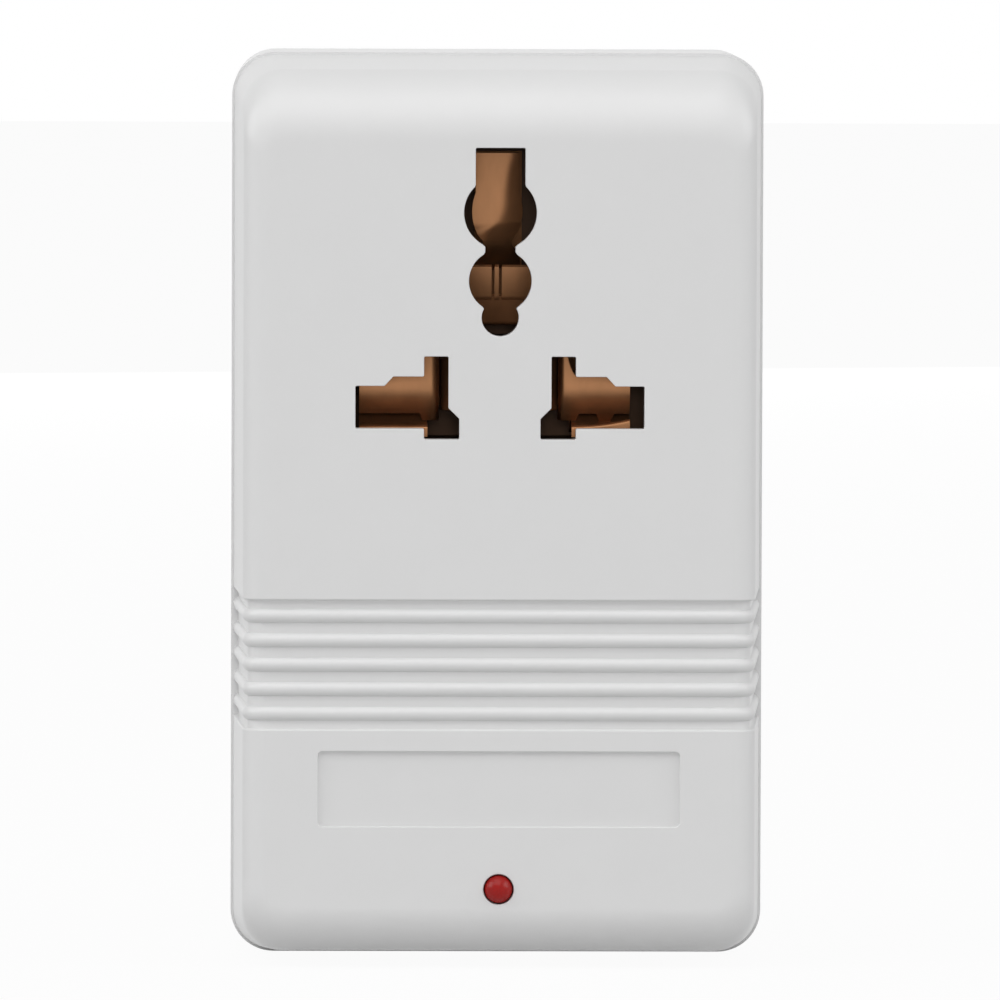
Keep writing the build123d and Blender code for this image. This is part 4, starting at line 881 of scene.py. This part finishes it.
def refined(node, name, material, body, slot, edge):
    """Copy of a CAD piece with its points joined, its bends smooth and its edges broken."""
    joining_distance = 0.002 * mm
    flat_angle, smooth_angle, broken_angle = radians(1), radians(35), radians(40)
    form = bmesh.new()
    form.from_mesh(nodes[node].data)
    bmesh.ops.remove_doubles(form, verts=form.verts, dist=joining_distance)
    bmesh.ops.dissolve_limit(form, angle_limit=flat_angle, verts=form.verts, edges=form.edges)
    for corner in form.edges:
        corner.smooth = corner.is_manifold and corner.calc_face_angle(0) < smooth_angle
    for side in form.faces:
        side.smooth = True
    data = bpy.data.meshes.new(name)
    form.to_mesh(data)
    form.free()
    made = piece(name, data, material, body, slot, node)
    bevel = made.modifiers.new("broken_edges", "BEVEL")
    bevel.width = edge * mm
    bevel.segments = 2
    bevel.limit_method = "ANGLE"
    bevel.angle_limit = broken_angle
    bevel.harden_normals = True


def numerals(text, x):
    """Plain figures on the back, raised a little from it and read from behind."""
    curve = bpy.data.curves.new("numerals", "FONT")
    curve.body = text
    curve.align_x = "CENTER"
    curve.size = figure_size * mm
    curve.extrude = figure_half_thickness * mm
    source = bpy.data.objects.new("numerals", curve)
    bpy.context.scene.collection.objects.link(source)
    bpy.context.view_layer.update()
    data = bpy.data.meshes.new_from_object(source.evaluated_get(bpy.context.evaluated_depsgraph_get()))
    bpy.data.objects.remove(source)
    place = Vector((x, rear_y + figure_middle_rise, selector_z - figure_drop)) * mm
    facing_back = Matrix(((-1, 0, 0, 0), (0, 0, 1, 0), (0, 1, 0, 0), (0, 0, 0, 1)))
    data.transform(Matrix.Translation(place) @ facing_back)
    return data


# Pieces

live_contact = power_contact(-1, live_outer_x, bend_x=7.0, bend_radius=0.6)
neutral_contact = power_contact(1, neutral_outer_x, bend_x=6.6, bend_radius=0.35, finger=True,
                                tab_drop=0.85, lift=0.7)
for name, skin, material, slot, node in (
        ("front_shell", front_shell(), white_abs, "white_shell", "front_housing"),
        ("rear_shell", rear_shell(), white_abs, "white_shell", "rear_housing"),
        ("lamp_lens", lamp_lens(), red_epoxy, "lamp_red", "led_lens"),
        ("live_jaws", live_contact, bronze, "bronze", "live_contact"),
        ("neutral_jaws", neutral_contact, bronze, "bronze", "neutral_contact"),
        ("earth_strip", earth_contact(), bronze, "bronze", "earth_contact")):
    piece(name, skin.mesh(name), material, "housing", slot, node)
refined("contact_carrier", "carrier_block", insulator, "housing", "dark_insulator", edge=0.1)
refined("plug_blade_left", "left_blade", nickel, "housing", "plated_blade", edge=0.08)
refined("plug_blade_right", "right_blade", nickel, "housing", "plated_blade", edge=0.08)
refined("housing_screws", "shell_screws", zinc, "housing", "steel", edge=0.04)
refined("selector_frame", "selector_plate", zinc, "housing", "steel", edge=0.05)
refined("selector_slider", "selector_knob", red_nylon, "selector", "red_plastic", edge=0.12)
for text, x in (("110", -figure_x), ("220", figure_x)):
    piece("figures_" + text, numerals(text, x), grey_ink, "housing", "black_plastic")


# Studio: a pale floor, even light from above and the front, and a white background

def background_mix(tree, shade, output, share):
    """Mixes in plain white where the camera, a reflection or a refraction sees the material.

    share is how much of the mix is white there.
    """
    path = tree.nodes.new("ShaderNodeLightPath")
    seen = tree.nodes.new("ShaderNodeMath")
    seen.operation = "MAXIMUM"
    either = tree.nodes.new("ShaderNodeMath")
    either.operation = "MAXIMUM"
    tree.links.new(path.outputs["Is Camera Ray"], seen.inputs[0])
    tree.links.new(path.outputs["Is Glossy Ray"], seen.inputs[1])
    tree.links.new(seen.outputs[0], either.inputs[0])
    tree.links.new(path.outputs["Is Transmission Ray"], either.inputs[1])
    scale = tree.nodes.new("ShaderNodeMath")
    scale.operation = "MULTIPLY"
    scale.inputs[1].default_value = share
    tree.links.new(either.outputs[0], scale.inputs[0])
    on_surface = output.type == "OUTPUT_MATERIAL"
    white = tree.nodes.new("ShaderNodeEmission" if on_surface else "ShaderNodeBackground")
    white.inputs["Color"].default_value = (1, 1, 1, 1)
    mix = tree.nodes.new("ShaderNodeMixShader")
    tree.links.new(scale.outputs[0], mix.inputs[0])
    tree.links.new(shade.outputs[0], mix.inputs[1])
    tree.links.new(white.outputs[0], mix.inputs[2])
    tree.links.new(mix.outputs[0], output.inputs["Surface"])


def studio_floor():
    """Pale floor under the object."""
    half = 4.0
    corners = [(-half, -half, 0), (half, -half, 0), (half, half, 0), (-half, half, 0)]
    data = bpy.data.meshes.new("floor")
    data.from_pydata(corners, [], [(0, 1, 2, 3)])
    floor = bpy.data.objects.new("floor", data)
    bpy.context.scene.collection.objects.link(floor)
    made = bpy.data.materials.new("floor")
    made.use_nodes = True
    surface = made.node_tree.nodes["Principled BSDF"]
    surface.inputs["Base Color"].default_value = (0.55, 0.55, 0.55, 1)
    surface.inputs["Roughness"].default_value = 0.8
    background_mix(made.node_tree, surface, made.node_tree.nodes["Material Output"], share=0.95)
    data.materials.append(made)


def studio_world(strength):
    """Even grey light all round, seen as white."""
    world = bpy.data.worlds.new("studio")
    bpy.context.scene.world = world
    world.use_nodes = True
    shade = world.node_tree.nodes["Background"]
    shade.inputs["Color"].default_value = (1, 1, 1, 1)
    shade.inputs["Strength"].default_value = strength
    background_mix(world.node_tree, shade, world.node_tree.nodes["World Output"], share=1)


def soft_lamp(name, place, target, size, watts, glossy=True):
    """Square soft light that faces a target. Lengths in metres. It may be kept out of reflections."""
    lamp = bpy.data.lights.new(name, "AREA")
    lamp.size = size
    lamp.energy = watts
    made = bpy.data.objects.new(name, lamp)
    bpy.context.scene.collection.objects.link(made)
    made.location = place
    made.visible_glossy = glossy
    made.rotation_euler = (Vector(target) - Vector(place)).to_track_quat("-Z", "Y").to_euler()


def photo_camera():
    """Long-lens camera at the photograph's angle. Its frame is square."""
    picture_width = 1000
    pixels_per_mm = 9.9
    distance = 1.3
    azimuth, elevation, roll = radians(-0.8), radians(2.9), radians(0.18)
    target = Vector((0.03, face_y, 47.6)) * mm
    back = Vector((sin(azimuth) * cos(elevation), -cos(azimuth) * cos(elevation), sin(elevation)))
    lens = bpy.data.cameras.new("camera")
    lens.sensor_width = 36
    lens.lens = lens.sensor_width * distance / (picture_width / pixels_per_mm * mm)
    lens.clip_end = 100
    made = bpy.data.objects.new("camera", lens)
    bpy.context.scene.collection.objects.link(made)
    turn = (-back).to_track_quat("-Z", "Y").to_matrix().to_4x4()
    made.matrix_world = Matrix.Translation(target + back * distance) @ turn @ Matrix.Rotation(roll, 4, "Z")
    bpy.context.scene.camera = made


studio_floor()
studio_world(strength=0.27)
middle = (0, 0, middle_z * mm)
soft_lamp("key", (-0.2, -0.7, 1.2), middle, size=1.2, watts=8.0)
soft_lamp("left", (-1.2, -0.35, 0.75), middle, size=0.9, watts=7.0)
soft_lamp("right", (1.2, -0.45, 0.75), middle, size=0.9, watts=7.0)
soft_lamp("back", (-0.3, 1.4, 0.1), middle, size=1.0, watts=12, glossy=False)
soft_lamp("front", (0, -1.3, 0.15), middle, size=0.15, watts=3.4, glossy=False)
photo_camera()
bpy.context.scene.view_settings.view_transform = "Standard"
